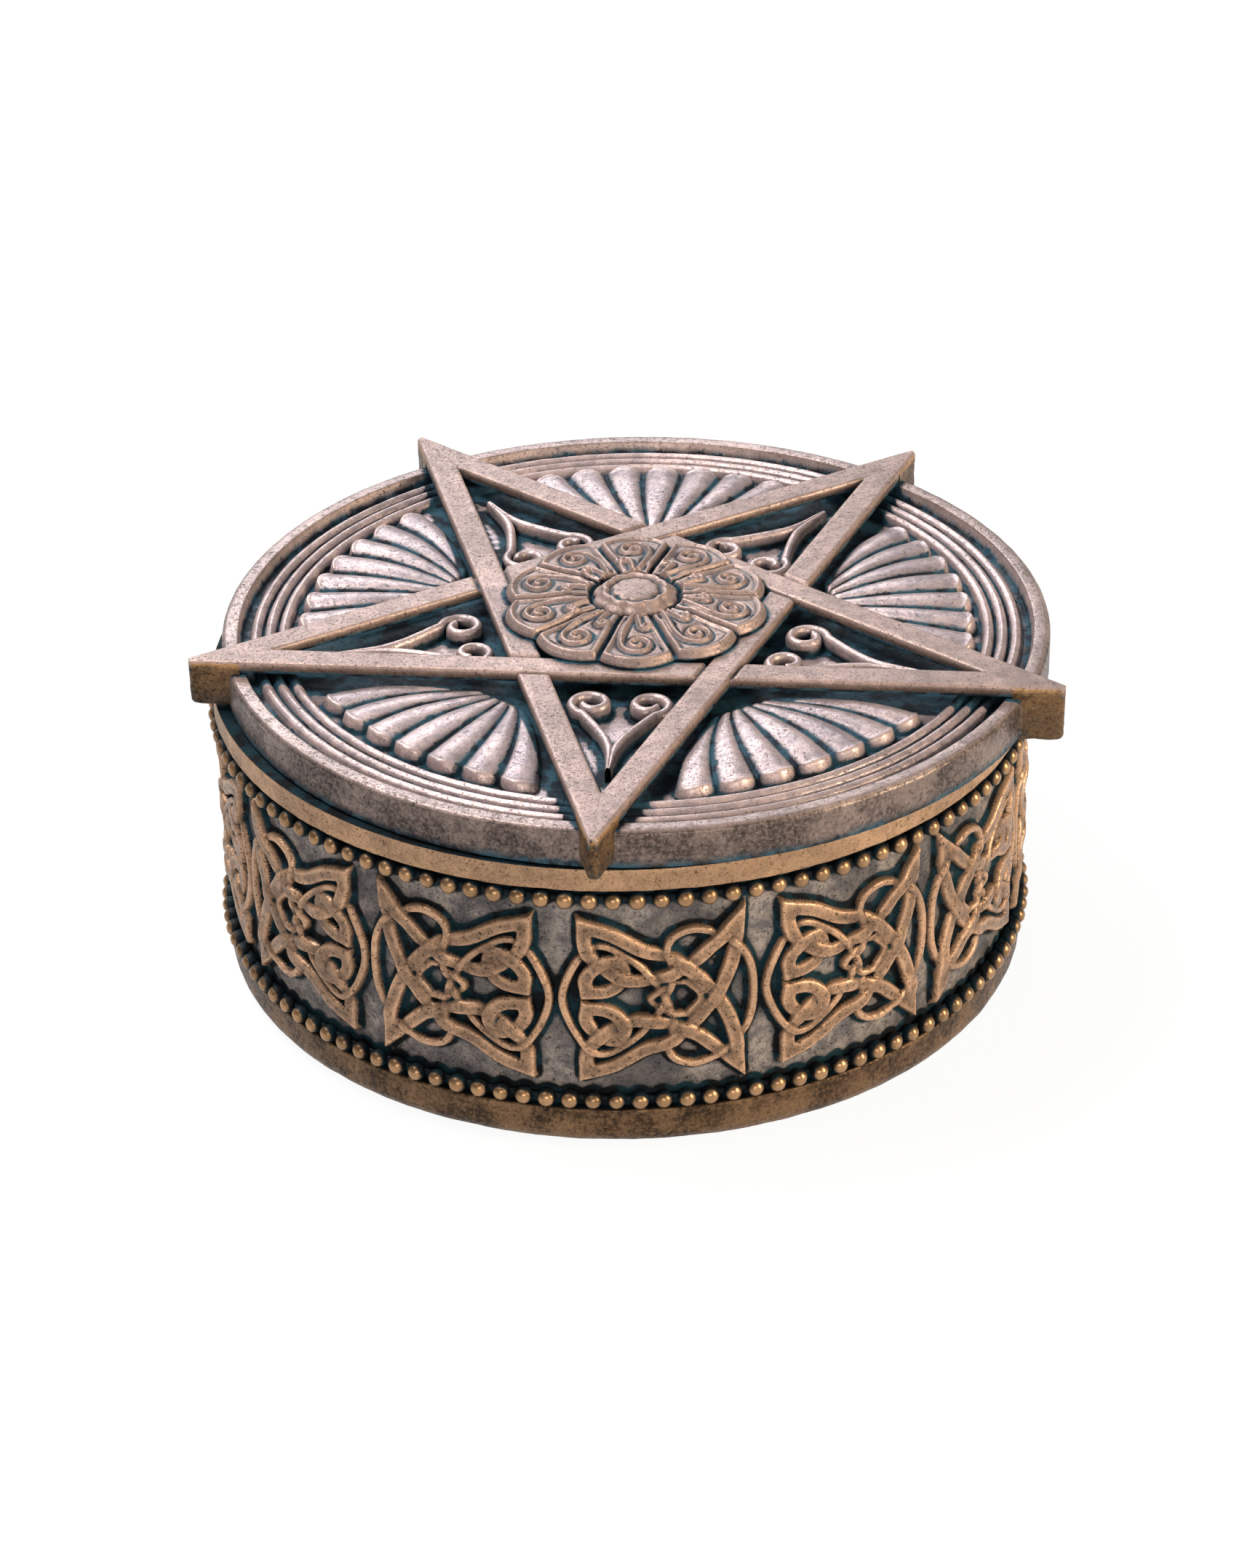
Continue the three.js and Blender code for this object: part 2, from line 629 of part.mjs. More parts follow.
// Finishes
const CUP_BRONZE = [0x7d6650, 0.5, 0.7];
const RELIEF_BRONZE = [0xa67f5c, 0.42, 0.8];
const BEAD_BRONZE = [0x9a7443, 0.32, 0.85];
const LID_BRONZE = [0x8f7565, 0.48, 0.75];
const STAR_BRONZE = [0xb58d78, 0.4, 0.8];
const FELT_GREEN = [0x26362f, 0.95, 0.0];

function piece(name, geometry, [color, roughness, metalness]) {
  const material = new THREE.MeshStandardMaterial({ color, roughness, metalness });
  const mesh = new THREE.Mesh(geometry, material);
  mesh.name = name;
  return mesh;
}

const numbered = (name, i) => `${name}_${String(i + 1).padStart(2, '0')}`;

function base() {
  const group = new THREE.Group();
  group.add(piece('base_cup', cup(), CUP_BRONZE));
  group.add(piece('felt_pad', feltPad(), FELT_GREEN));
  group.add(piece('bead_row_lower', beadRow(lowerBeadZ), BEAD_BRONZE));
  group.add(piece('bead_row_upper', beadRow(upperBeadZ), BEAD_BRONZE));
  for (let i = 0; i < PANEL_COUNT; i += 1) {
    const panel = piece(numbered('knot_panel', i), knotPanel(i < MIRRORED_FROM ? 1 : -1), RELIEF_BRONZE);
    panel.rotation.z = radians(FIRST_PANEL_ANGLE + 360 * i / PANEL_COUNT);
    group.add(panel);
  }
  return group;
}

function lid() {
  const group = new THREE.Group();
  group.add(piece('lid_plate', lidPlate(), LID_BRONZE));
  group.add(piece('star_lattice', starLattice(lidEnvelope()), STAR_BRONZE));
  group.add(piece('rosette', rosette(), STAR_BRONZE));
  for (let i = 0; i < 5; i += 1) {
    const arm = STAR_ANGLE + 72 * i;
    group.add(piece(numbered('arm_scroll', i), armScroll(arm), LID_BRONZE));
    group.add(piece(numbered('leaf_fan', i), leafFan(arm + 36), LID_BRONZE));
  }
  group.position.set(LID_SLIP_X, LID_SLIP_Y, 0);
  return group;
}

const box = new THREE.Group();
box.add(base());
box.add(lid());

export default box;
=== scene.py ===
"""Trinket box in cast resin with a bronze finish: looks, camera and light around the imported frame.

Shapes are worked out in millimetres and written as metres. Everything is made by this script.
"""

import math

import bpy
import numpy as np
from mathutils import Matrix, Vector


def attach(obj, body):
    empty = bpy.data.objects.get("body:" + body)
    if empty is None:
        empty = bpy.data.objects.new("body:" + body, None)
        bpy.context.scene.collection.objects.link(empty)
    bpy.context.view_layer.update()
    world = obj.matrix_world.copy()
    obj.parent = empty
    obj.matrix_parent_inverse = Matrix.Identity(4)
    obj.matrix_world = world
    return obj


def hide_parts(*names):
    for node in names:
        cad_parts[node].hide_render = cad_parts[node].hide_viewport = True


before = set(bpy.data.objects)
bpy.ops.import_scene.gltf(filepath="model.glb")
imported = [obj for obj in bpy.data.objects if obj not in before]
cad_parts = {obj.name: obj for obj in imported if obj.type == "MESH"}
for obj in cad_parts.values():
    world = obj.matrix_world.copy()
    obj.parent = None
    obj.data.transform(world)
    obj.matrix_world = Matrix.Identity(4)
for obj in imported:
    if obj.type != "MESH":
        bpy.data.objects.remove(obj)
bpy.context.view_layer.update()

MM = 0.001

# Cup
WALL_RADIUS = 52.2
HIDDEN_WALL = 51.7
BAND_RADIUS = 53.4
RIM_RADIUS = 53.7
FOOT_RADIUS = 52.1
FOOT_BOTTOM = 0.4
FOOT_ROUND = 1.6
FOOT_BAND_TOP = 5.6
RIM_BAND_BOTTOM = 37.9
CUP_HEIGHT = 41.1
BORE_RADIUS = 47.5
CUP_FLOOR_TOP = 4.45
FLOOR_FILLET = 2.5
RECESS_TOP = 1.05
FELT_RADIUS = 48.2
FELT_THICKNESS = 1.0

# Steps round the turned pieces
CUP_STEPS = 480
FELT_STEPS = 360
LID_STEPS = 620

# Beads
BEAD_COUNT = 114
BEAD_RADIUS = 1.15
BEAD_CIRCLE = 53.25
BEAD_STAND = 1.9
STRING_RADIUS = 0.42
STRING_INSET = 0.6
LOWER_BEAD_Z = 7.05
UPPER_BEAD_Z = 36.45

# Knot panels
PANEL_COUNT = 13
FIRST_PANEL_ANGLE = 274.3
PLAIN_WAY_PANELS = (0, 1)
PANEL_MIDDLE = 21.75
PANEL_HALF_HEIGHT = 12.75
PANEL_HALF_WIDTH = 12.44
PANEL_COLUMNS = 176
WALL_ROWS = 224
RELIEF = 1.28
OVER_RISE = 0.34
UNDER_DIP = 0.50
WEAVE_REACH = 1.25
LOWEST_STRAND = 0.45
RAISED_FROM = 0.12
SWELL, SWELL_GRAIN = 0.5, 7.0
DENTS, DENT_GRAIN = 0.3, 1.8

# Lid
LID_SLIP = (1.97, 0.16)
LID_RADIUS = 54.0
LID_BOTTOM = 41.4
LID_RIM_TOP = 46.6
LID_RIM_INNER = 51.4
DISH_TOP = 44.6
DISH_EDGE = 45.1
REED_PITCH = 1.8
REED_LAND = 0.5
REED_HEIGHT = 0.9
LIP_RADIUS = 45.1
LIP_WALL = 2.6
LIP_BOTTOM = 38.6
LID_UNDERSIDE = 41.6

# Star and ornament
STAR_POINTS = 5
STAR_ANGLE = 48.4
STAR_REACH = 54.0
TIP_REACH = 58.7
BAR_WIDTH = 3.9
BAR_TURN = 720 / STAR_POINTS
TIP = math.radians(90 / STAR_POINTS)
MITRE = BAR_WIDTH / 2 / math.sin(TIP)
STAR_TOP = 48.4
STAR_BOTTOM = 46.9
TIP_BLOCK_BOTTOMS = (42.3, 42.3, 42.0, 42.3, 40.7)
TIP_BLOCK_INNER = 52.6
TIP_BLOCK_MIDDLE = 54.5
ORNAMENT_BOTTOM = 44.9
PETALS = 10
PETAL_LENGTH = 17.0
ROSETTE_RADIUS = 17.53
ROSETTE_MIDDLE = 14.4
ROSETTE_LAP = 48.7
BOSS_SHARE = 0.33
FAN_INNER = 26.53
FAN_SPREAD = 25.0
FAN_FLUTES = 7
SCROLL_CENTRE = 22.48
SCROLL_RADIUS = 2.8
SCROLL_STEM = 39.2
SCROLL_HALF_WIDTH = 0.68

# Camera, fitted to the photograph's outline, bead rows and star points
CAMERA_RISE = 30.66
CAMERA_ROLL = -0.0163
CAMERA_PLACE = (0.535, 18.339, 584.76)
CAMERA_LENS = 98.53


def smooth(x):
    """Smooth step from 0 to 1 over x from 0 to 1."""
    x = np.clip(x, 0.0, 1.0)
    return x * x * (3 - 2 * x)


def hump(x, width):
    """Bell curve that is 1 where x is 0 and falls off within the width."""
    return np.exp(-((x / width) ** 2))


def blurred(field, across, down, wrap=True):
    """Field smoothed by a bell curve that many cells wide along its first and second axis."""
    pad = 0 if wrap else int(4 * across) + 1
    tall = int(4 * down) + 1
    wide = np.pad(field, ((pad, pad), (0, 0)), mode="edge")
    wide = np.pad(wide, ((0, 0), (tall, tall)), mode="edge")
    fx = np.fft.fftfreq(wide.shape[0])[:, None]
    fy = np.fft.rfftfreq(wide.shape[1])[None, :]
    bell = np.exp(-2 * math.pi**2 * ((across * fx) ** 2 + (down * fy) ** 2))
    soft = np.fft.irfft2(np.fft.rfft2(wide) * bell, s=wide.shape)
    return soft[pad : wide.shape[0] - pad, tall : wide.shape[1] - tall]


# Meshes
def quads(columns, rows):
    """Faces of a grid of columns by rows of points."""
    i, j = np.meshgrid(np.arange(columns - 1), np.arange(rows - 1), indexing="ij")
    corner = (i * rows + j).ravel()
    return np.stack([corner, corner + rows, corner + rows + 1, corner + 1], 1)


def facing(points, faces, way):
    """Faces wound so that they look up, or out of a closed body."""
    a, b, c = points[faces[:, 0]], points[faces[:, 1]], points[faces[:, 2]]
    d = points[faces[:, 3]]
    normal = np.cross(c - a, d - b)
    middle = (a + b + c + d) / 4
    out = np.array([[0, 0, 1.0]]) if way == "up" else middle - points.mean(0)
    return faces[:, ::-1] if (normal * out).sum() < 0 else faces


def kept(points, faces, *fields):
    """Only the points that the faces use, with the fields cut to match."""
    used, back = np.unique(faces.ravel(), return_inverse=True)
    return points[used], back.reshape(faces.shape), *[f[used] for f in fields]


def softened(profile, spacing=0.12, rounding=0.22, tolerance=0.006):
    """Profile line with rounded corners, cut down to the points that its curves need."""
    p = np.array(profile, float)
    step = np.hypot(*np.diff(p, axis=0).T)
    along = np.concatenate([[0], np.cumsum(step)])
    s = np.linspace(0, along[-1], int(along[-1] / spacing))
    line = np.stack([np.interp(s, along, p[:, 0]), np.interp(s, along, p[:, 1])], 1)
    width = rounding / spacing
    reach = int(4 * width)
    bell = np.exp(-0.5 * (np.arange(-reach, reach + 1) / width) ** 2)
    bell /= bell.sum()
    padded = np.pad(line, ((reach, reach), (0, 0)), mode="reflect", reflect_type="odd")
    line = np.stack([np.convolve(padded[:, k], bell, mode="valid") for k in (0, 1)], 1)
    keep = [0]
    for i in range(1, len(line) - 1):
        a, b = line[keep[-1]], line[i + 1]
        mid = line[keep[-1] + 1 : i + 1]
        d = b - a
        away = np.abs(d[0] * (mid[:, 1] - a[1]) - d[1] * (mid[:, 0] - a[0])) / max(np.hypot(*d), 1e-9)
        if away.max() > tolerance or s[i + 1] - s[keep[-1]] > 1.6:
            keep.append(i)
    keep.append(len(line) - 1)
    return line[keep]


def profile_shade(profile):
    """How much painted shade, mixed with the hollows' dark patina, and how much wear each point of a turned
    profile gets, from how it bends.
    """
    p = np.array(profile)
    soft = p.copy()
    for _ in range(3):
        soft[1:-1] = (soft[:-2] + 2 * soft[1:-1] + soft[2:]) / 4
    d = np.gradient(p, axis=0)
    normal = np.stack([d[:, 1], -d[:, 0]], 1)
    normal /= np.maximum(np.hypot(*normal.T), 1e-9)[:, None]
    bend = ((p - soft) * normal).sum(1)
    return np.clip(-bend / 0.05, 0, 1), np.clip(bend / 0.03, 0, 1)


# Nodes
class Nodes:
    """Short ways to add nodes to one tree, which is empty at first."""

    CLAMPED = ()

    def __init__(self, tree):
        self.tree = tree
        tree.nodes.clear()

    def feed(self, socket, value):
        """Join the socket to the value where that is a socket too, or else set it."""
        if isinstance(value, bpy.types.NodeSocket):
            self.tree.links.new(value, socket)
        else:
            socket.default_value = value

    def add(self, kind, settings=None, **sockets):
        """First output of a new node, with its settings and with what its named sockets take."""
        node = self.tree.nodes.new(kind)
        for key, value in (settings or {}).items():
            setattr(node, key, value)
        for key, value in sockets.items():
            self.feed(node.inputs[key.replace("_", " ")], value)
        return node.outputs[0] if len(node.outputs) else node

    def maths(self, way, a, b=0.0):
        settings = {"operation": way, "use_clamp": way in self.CLAMPED}
        node = self.add("ShaderNodeMath", settings).node
        self.feed(node.inputs[0], a)
        self.feed(node.inputs[1], b)
        return node.outputs[0]

    def times(self, a, b):
        return self.maths("MULTIPLY", a, b)

    def blend(self, share, a, b):
        """Shader that goes from a to b by the share."""
        node = self.add("ShaderNodeMixShader", Fac=share).node
        self.feed(node.inputs[1], a)
        self.feed(node.inputs[2], b)
        return node.outputs[0]


# Finishes
def srgb(r, g, b):
    """Linear colour from the 0 to 255 values that it shows as."""
    c = np.array([r, g, b]) / 255
    return (*np.where(c <= 0.04045, c / 12.92, ((c + 0.055) / 1.055) ** 2.4), 1.0)


class Finish(Nodes):
    """Nodes of one material, whose sums and differences stay between 0 and 1."""

    CLAMPED = ("ADD", "SUBTRACT")

    def __init__(self, name):
        self.material = bpy.data.materials.new(name)
        self.material.use_nodes = True
        super().__init__(self.material.node_tree)

    def noise(self, scale, detail, roughness):
        place = self.add("ShaderNodeTexCoord").node.outputs["Object"]
        return self.add("ShaderNodeTexNoise", Vector=place, Scale=scale, Detail=detail, Roughness=roughness)

    def ramp(self, value, low, high, out_low=0.0, out_high=1.0):
        """Value carried smoothly from between low and high to between the other two."""
        return self.add(
            "ShaderNodeMapRange", {"interpolation_type": "SMOOTHSTEP"},
            Value=value, From_Min=low, From_Max=high, To_Min=out_low, To_Max=out_high,
        )

    def mix(self, share, a, b):
        """Colour that goes from a to b by the share."""
        node = self.add("ShaderNodeMix", {"data_type": "RGBA"}, Factor=share).node
        self.feed(node.inputs[6], a)
        self.feed(node.inputs[7], b)
        return node.outputs[2]

    def attribute(self, name):
        return self.add("ShaderNodeAttribute", {"attribute_name": name}).node.outputs["Fac"]

    def bump(self, height, strength, depth):
        return self.add("ShaderNodeBump", Height=height, Strength=strength, Distance=depth)

    def dress(self, shader):
        """Material that ends in the shader."""
        self.add("ShaderNodeOutputMaterial", Surface=shader)
        return self.material


def patinated_bronze(name, worn, body, deep, green, pits, gloss, metal, green_share, skin=0.55, blotch=0.3):
    """Bronze finish: worn high places, brown faces, painted shade in the hollows mixed with dark patina and
    verdigris, golden smudged places that are partly painted shade, and fine pits.
    """
    t = Finish(name)
    hollow, wear, soot = t.attribute("hollow"), t.attribute("wear"), t.attribute("soot")
    drift = t.noise(90, 4, 0.6)
    mottle = t.noise(480, 5, 0.65)
    fine = t.noise(2100, 4, 0.7)
    speck = t.noise(1900, 6, 0.80)
    dust = t.noise(4600, 3, 0.75)

    # Brown faces, worn places and darker drifts
    high = t.maths("ADD", t.ramp(mottle, 0.38, 0.62, 0.15, 0.72), t.times(wear, 0.7))
    colour = t.mix(high, body, worn)
    colour = t.mix(t.ramp(drift, 0.44, 0.60, 0.0, blotch), colour, tuple(0.60 * c for c in body[:3]) + (1,))

    # Golden ground with dark soot smudges; on the lid's edge face, its rim top and the star's bar sides
    # they are painted shade
    gold = (0.95 * body[0], 0.84 * body[1], 0.62 * body[2], 1)
    colour = t.mix(t.times(soot, 0.6), colour, gold)
    cloud = t.ramp(t.noise(150, 4, 0.6), 0.36, 0.58, 0.50, 1.0)
    smudge = t.times(cloud, t.ramp(speck, 0.40, 0.54, 0.55, 1.0))
    smudged_soot_and_shade = t.times(soot, smudge)
    colour = t.mix(smudged_soot_and_shade, colour, (0.17 * body[0], 0.15 * body[1], 0.125 * body[2], 1))

    # Painted shade in the hollows, mixed with dark patina and verdigris patches, and pits
    grime_and_shade = t.times(t.ramp(mottle, 0.50, 0.70), t.times(hollow, 0.8))
    dark = t.ramp(t.maths("ADD", hollow, grime_and_shade), 0.10, 0.62)
    patch = t.ramp(t.noise(300, 3, 0.6), 0.42, 0.58)
    low = t.mix(t.times(patch, green_share), deep, green)
    colour = t.mix(dark, colour, low)
    pit = t.times(t.ramp(speck, 0.555, 0.63), pits)
    pit = t.maths("MAXIMUM", pit, t.times(t.ramp(dust, 0.54, 0.64), 0.65 * pits))
    colour = t.mix(pit, colour, tuple(0.5 * c for c in deep[:3]) + (1,))

    skin_rough = t.ramp(fine, 0.3, 0.7, gloss - 0.06, gloss + 0.10)
    rough = t.maths("ADD", skin_rough, t.times(dark, 0.30))
    height = t.maths("SUBTRACT", t.times(fine, 0.8), t.times(pit, 0.6))
    return t.dress(t.add(
        "ShaderNodeBsdfPrincipled", Base_Color=colour, Metallic=t.ramp(dark, 0.0, 1.0, metal, 0.10),
        Specular_IOR_Level=0.2, Roughness=t.maths("ADD", rough, t.times(pit, 0.2)),
        Normal=t.bump(height, skin, 0.08 * MM),
    ))


def felt_cloth(name):
    """Dark green felt with a short nap."""
    t = Finish(name)
    nap = t.noise(2600, 5, 0.8)
    colour = t.mix(t.ramp(nap, 0.3, 0.7), srgb(24, 34, 31), srgb(44, 60, 54))
    return t.dress(t.add(
        "ShaderNodeBsdfPrincipled", Base_Color=colour, Roughness=0.95, Sheen_Weight=0.3,
        Normal=t.bump(nap, 0.8, 0.2 * MM),
    ))


# Near-black colours of the painted shade in the hollows, which also stand for the dark patina there; the
# verdigris colours are the patina's green.
NEAR_BLACK = srgb(4, 7, 11)
VERDIGRIS = srgb(18, 64, 76)
LID_BLACK = srgb(13, 25, 34)
LID_VERDIGRIS = srgb(50, 88, 104)
cup_bronze = patinated_bronze(
    "cup_bronze", srgb(176, 141, 110), srgb(128, 102, 79), NEAR_BLACK, VERDIGRIS,
    pits=0.8, gloss=0.42, metal=0.6, green_share=0.35,
)
wall_bronze = patinated_bronze(
    "wall_bronze", srgb(164, 151, 140), srgb(84, 81, 84), NEAR_BLACK, VERDIGRIS,
    pits=0.9, gloss=0.46, metal=0.5, green_share=0.4, blotch=0.7,
)
relief_bronze = patinated_bronze(
    "relief_bronze", srgb(198, 158, 126), srgb(124, 101, 84), NEAR_BLACK, VERDIGRIS,
    pits=1.0, gloss=0.36, metal=0.6, green_share=0.6,
)
bead_bronze = patinated_bronze(
    "bead_bronze", srgb(168, 131, 95), srgb(102, 80, 58), NEAR_BLACK, VERDIGRIS,
    pits=0.2, gloss=0.28, metal=0.75, green_share=0.2, skin=0.08,
)
lid_bronze = patinated_bronze(
    "lid_bronze", srgb(200, 177, 171), srgb(146, 133, 135), LID_BLACK, LID_VERDIGRIS,
    pits=0.7, gloss=0.34, metal=0.6, green_share=0.6,
)
star_bronze = patinated_bronze(
    "star_bronze", srgb(172, 148, 138), srgb(138, 120, 114), LID_BLACK, LID_VERDIGRIS,
    pits=0.7, gloss=0.42, metal=0.55, green_share=0.7,
)
point_bronze = patinated_bronze(
    "point_bronze", srgb(182, 142, 100), srgb(124, 100, 78), LID_BLACK, LID_VERDIGRIS,
    pits=1.0, gloss=0.40, metal=0.6, green_share=0.3,
)
felt = felt_cloth("felt")


# Knot strands, in shares of the panel's half width and half height
def flip(run):
    """Run mirrored from top to bottom."""
    return [(x, -y) for x, y in run]


CORNER_LEFT, CORNER_RIGHT = (-0.72, 0.84), (0.78, 0.82)
LONG_RUN = [CORNER_LEFT, (-0.45, 0.75), (-0.17, 0.58), (0.08, 0.49), (0.27, 0.36), (0.52, 0.06)]
LONG_RUN += [(0.68, -0.24), (0.76, -0.52), (0.78, -0.82)]
SHORT_RUN = [CORNER_LEFT, (-0.71, 0.62), (-0.60, 0.43), (-0.37, 0.27), (-0.12, 0.23), (0.16, 0.31)]
SHORT_RUN += [(0.36, 0.42), (0.55, 0.60), CORNER_RIGHT]
HOOK_RUN = [(-0.70, 0.09), (-0.71, 0.25), (-0.58, 0.42), (-0.43, 0.45), (-0.34, 0.34), (-0.38, 0.20)]
HOOK_RUN += [(-0.52, 0.11), (-0.70, 0.09)]
CORD_HALF = [(-0.95, 0), (-0.86, 0.31), (-0.70, 0.56), (-0.53, 0.62), (-0.33, 0.51), (-0.13, 0.33)]
CORD_HALF += [(0.02, 0.10), (0.13, -0.20), (0.12, -0.42), (0.08, -0.56), (0.16, -0.71)]
CORD_HALF += [(0.36, -0.77), (0.58, -0.69), (0.80, -0.52), (0.92, -0.28)]
CORD_RUN = CORD_HALF + [(0.95, 0)] + flip(CORD_HALF)[:0:-1]
LOOP_TOP, LOOP_FOOT = (0.273, 0.188), (0.273, -0.188)
LOOP_NECK = [LOOP_TOP, (0.08, 0.15), (-0.08, 0), (0.08, -0.15), LOOP_FOOT]
LOOP_RUNS = [LOOP_NECK, [LOOP_FOOT, (0.418, 0), LOOP_TOP]]
RIBBON_RUNS = [LONG_RUN, flip(SHORT_RUN)[::-1], flip(LONG_RUN), SHORT_RUN[::-1]]
STRANDS = [
    {"runs": RIBBON_RUNS, "width": 2.15, "height": RELIEF},
    {"runs": [CORD_RUN], "width": 1.25, "height": RELIEF * 0.88, "round": True},
    {"runs": [HOOK_RUN], "width": 2.1, "height": RELIEF},
    {"runs": [flip(HOOK_RUN)], "width": 2.1, "height": RELIEF},
    {"runs": LOOP_RUNS, "width": 1.15, "height": RELIEF * 0.85},
]


def curve_through(points, closed, steps=8):
    """Smooth line through the points, with that many steps between two of them."""
    p = np.array(points, float)
    if closed:
        p = np.concatenate([p[-1:], p, p[:2]])
    else:
        p = np.concatenate([2 * p[:1] - p[1:2], p, 2 * p[-1:] - p[-2:-1]])
    t = np.linspace(0, 1, steps, endpoint=False)[:, None]
    line = []
    for a, b, c, d in zip(p[:-3], p[1:-2], p[2:-1], p[3:]):
        m, n = (c - a) / 2, (d - b) / 2
        line.append(b + m * t + (3 * (c - b) - 2 * m - n) * t**2 + (2 * (b - c) + m + n) * t**3)
    return np.concatenate(line)


def strand_line(strand):
    """Points in millimetres along a closed strand, and which of them are sharp corners."""
    points, sharp = [], []
    for run in strand["runs"]:
        line = curve_through(run, strand.get("round", False))
        points.append(line)
        sharp += [not strand.get("round", False)] + [False] * (len(line) - 1)
    return np.concatenate(points) * (PANEL_HALF_WIDTH, PANEL_HALF_HEIGHT), np.array(sharp)


def crossing_visits(lines):
    """Every crossing of the lines as a pair of visits: which line, how far along it, and its partner."""
    visits = []
    for i, p in enumerate(lines):
        a, b = p, np.roll(p, -1, 0)
        for j in range(i, len(lines)):
            c, d = lines[j], np.roll(lines[j], -1, 0)
            r, s = (b - a)[:, None], (d - c)[None]
            gap = c[None] - a[:, None]
            turn = r[..., 0] * s[..., 1] - r[..., 1] * s[..., 0]
            turn = np.where(np.abs(turn) < 1e-9, np.inf, turn)
            t = (gap[..., 0] * s[..., 1] - gap[..., 1] * s[..., 0]) / turn
            u = (gap[..., 0] * r[..., 1] - gap[..., 1] * r[..., 0]) / turn
            for m, n in np.argwhere((t >= 0) & (t < 1) & (u >= 0) & (u < 1) & np.isfinite(turn)):
                if i == j and (n <= m + 1 or n - m >= len(p) - 1):
                    continue
                first = {"line": i, "at": m + t[m, n], "over": None}
                second = {"line": j, "at": n + u[m, n], "over": None, "partner": first}
                first["partner"] = second
                visits += [first, second]
    return visits


def weave(lines):
    """Visits of each line in order, over and under by turns along every one."""
    visits = crossing_visits(lines)
    in_order = sorted(visits, key=lambda v: v["at"])
    order = [[v for v in in_order if v["line"] == i] for i in range(len(lines))]
    waiting = [(visits[0], True)]
    while waiting:
        visit, over = waiting.pop()
        if visit["over"] is not None:
            continue
        visit["over"] = over
        row = order[visit["line"]]
        k = next(n for n, v in enumerate(row) if v is visit)
        others = (visit["partner"], row[(k + 1) % len(row)], row[k - 1])
        waiting += [(other, not over) for other in others]
    return order


def strand_levels(line, visits, height):
    """Height of a strand's top at each point: up where it passes over, down where it passes under."""
    step = np.hypot(*(np.roll(line, -1, 0) - line).T)
    along = np.concatenate([[0], np.cumsum(step)])
    total = along[-1]
    level = np.full(len(line), height)
    for v in visits:
        at = np.interp(v["at"], np.arange(len(along)), along)
        away = np.abs(along[:-1] - at)
        away = np.minimum(away, total - away)
        change = OVER_RISE if v["over"] else -UNDER_DIP
        level += change * hump(away, WEAVE_REACH)
    return np.clip(level, LOWEST_STRAND, RELIEF + OVER_RISE)


def shoulder(inside, edge=0.26):
    """Share of its height that a ribbon has, by how far inside its outline a point lies."""
    return smooth(inside / edge + 0.18) * (0.97 + 0.03 * np.clip(inside, 0, 1))


def ribbon_field(x, y, line, sharp, level, width):
    """Height of one strand over a grid of points."""
    field = np.zeros_like(x)
    after = np.roll(line, -1, 0)
    level_after = np.roll(level, -1)
    for a, b, la, lb in zip(line, after, level, level_after):
        d = b - a
        near = (np.abs(x - (a[0] + b[0]) / 2) < width + 1) & (np.abs(y - (a[1] + b[1]) / 2) < width + 1)
        px, py = x[near] - a[0], y[near] - a[1]
        t = np.clip((px * d[0] + py * d[1]) / max(d @ d, 1e-12), 0, 1)
        away = np.hypot(px - t * d[0], py - t * d[1])
        field[near] = np.maximum(field[near], (la + (lb - la) * t) * shoulder(width / 2 - away))
    for i in np.flatnonzero(sharp):
        p, u, v = line[i], line[i] - line[i - 1], after[i] - line[i]
        u, v = u / np.hypot(*u), v / np.hypot(*v)
        px, py = x - p[0], y - p[1]
        close = np.hypot(px, py) < 1.35 * width
        beyond = (px * u[0] + py * u[1] > 0) & (px * v[0] + py * v[1] < 0) & close
        away = np.maximum(np.abs(px * u[1] - py * u[0]), np.abs(px * v[1] - py * v[0]))
        tip = level[i] * shoulder(width / 2 - away)
        field = np.maximum(field, np.where(beyond, tip, 0))
    return field


def panel_field():
    """Height of one knot panel over its share of the wall."""
    half = math.pi * WALL_RADIUS / PANEL_COUNT
    across = np.linspace(-half, half, PANEL_COLUMNS + 1)[:-1]
    up = np.linspace(FOOT_BAND_TOP, RIM_BAND_BOTTOM, WALL_ROWS) - PANEL_MIDDLE
    x, y = np.meshgrid(across, up, indexing="ij")
    made = [strand_line(s) for s in STRANDS]
    order = weave([line for line, _ in made])
    field = np.zeros_like(x)
    for strand, (line, sharp), visits in zip(STRANDS, made, order):
        level = strand_levels(line, visits, strand["height"])
        field = np.maximum(field, ribbon_field(x, y, line, sharp, level, strand["width"]))
    return field


def bead_field(angle, z):
    """Height of both bead rows over the wall, for the shade that they keep."""
    phase = angle * BEAD_COUNT / (2 * math.pi)
    side = (phase - np.round(phase)) * 2 * math.pi * BEAD_CIRCLE / BEAD_COUNT
    field = np.zeros_like(z)
    for middle in (LOWER_BEAD_Z, UPPER_BEAD_Z):
        away2 = side**2 + (z - middle) ** 2
        field = np.maximum(field, BEAD_STAND * np.sqrt(np.clip(1 - away2 / BEAD_RADIUS**2, 0, 1)))
    return field


def wall_shade(relief, standing, cell):
    """How much painted shade, mixed with the hollows' dark patina, and how much wear the wall gets, from
    its relief and from all that stands on it.
    """
    edge_rows = 19
    framed = np.pad(standing, ((0, 0), (edge_rows, edge_rows)))
    framed[:, :edge_rows] = BAND_RADIUS - WALL_RADIUS
    framed[:, -edge_rows:] = RIM_RADIUS - WALL_RADIUS
    tight, wide = (blurred(framed, w / cell, w / cell)[:, edge_rows:-edge_rows] for w in (0.5, 1.5))
    edge_shade = np.clip((tight - relief - 0.02) / 0.30, 0, 1)
    deep_shade = np.clip((wide - relief - 0.15) / 0.8, 0, 1)
    hollow = np.clip(0.9 * edge_shade + 0.4 * deep_shade, 0, 1)
    return hollow, np.clip((relief - tight) / 0.35, 0, 1)


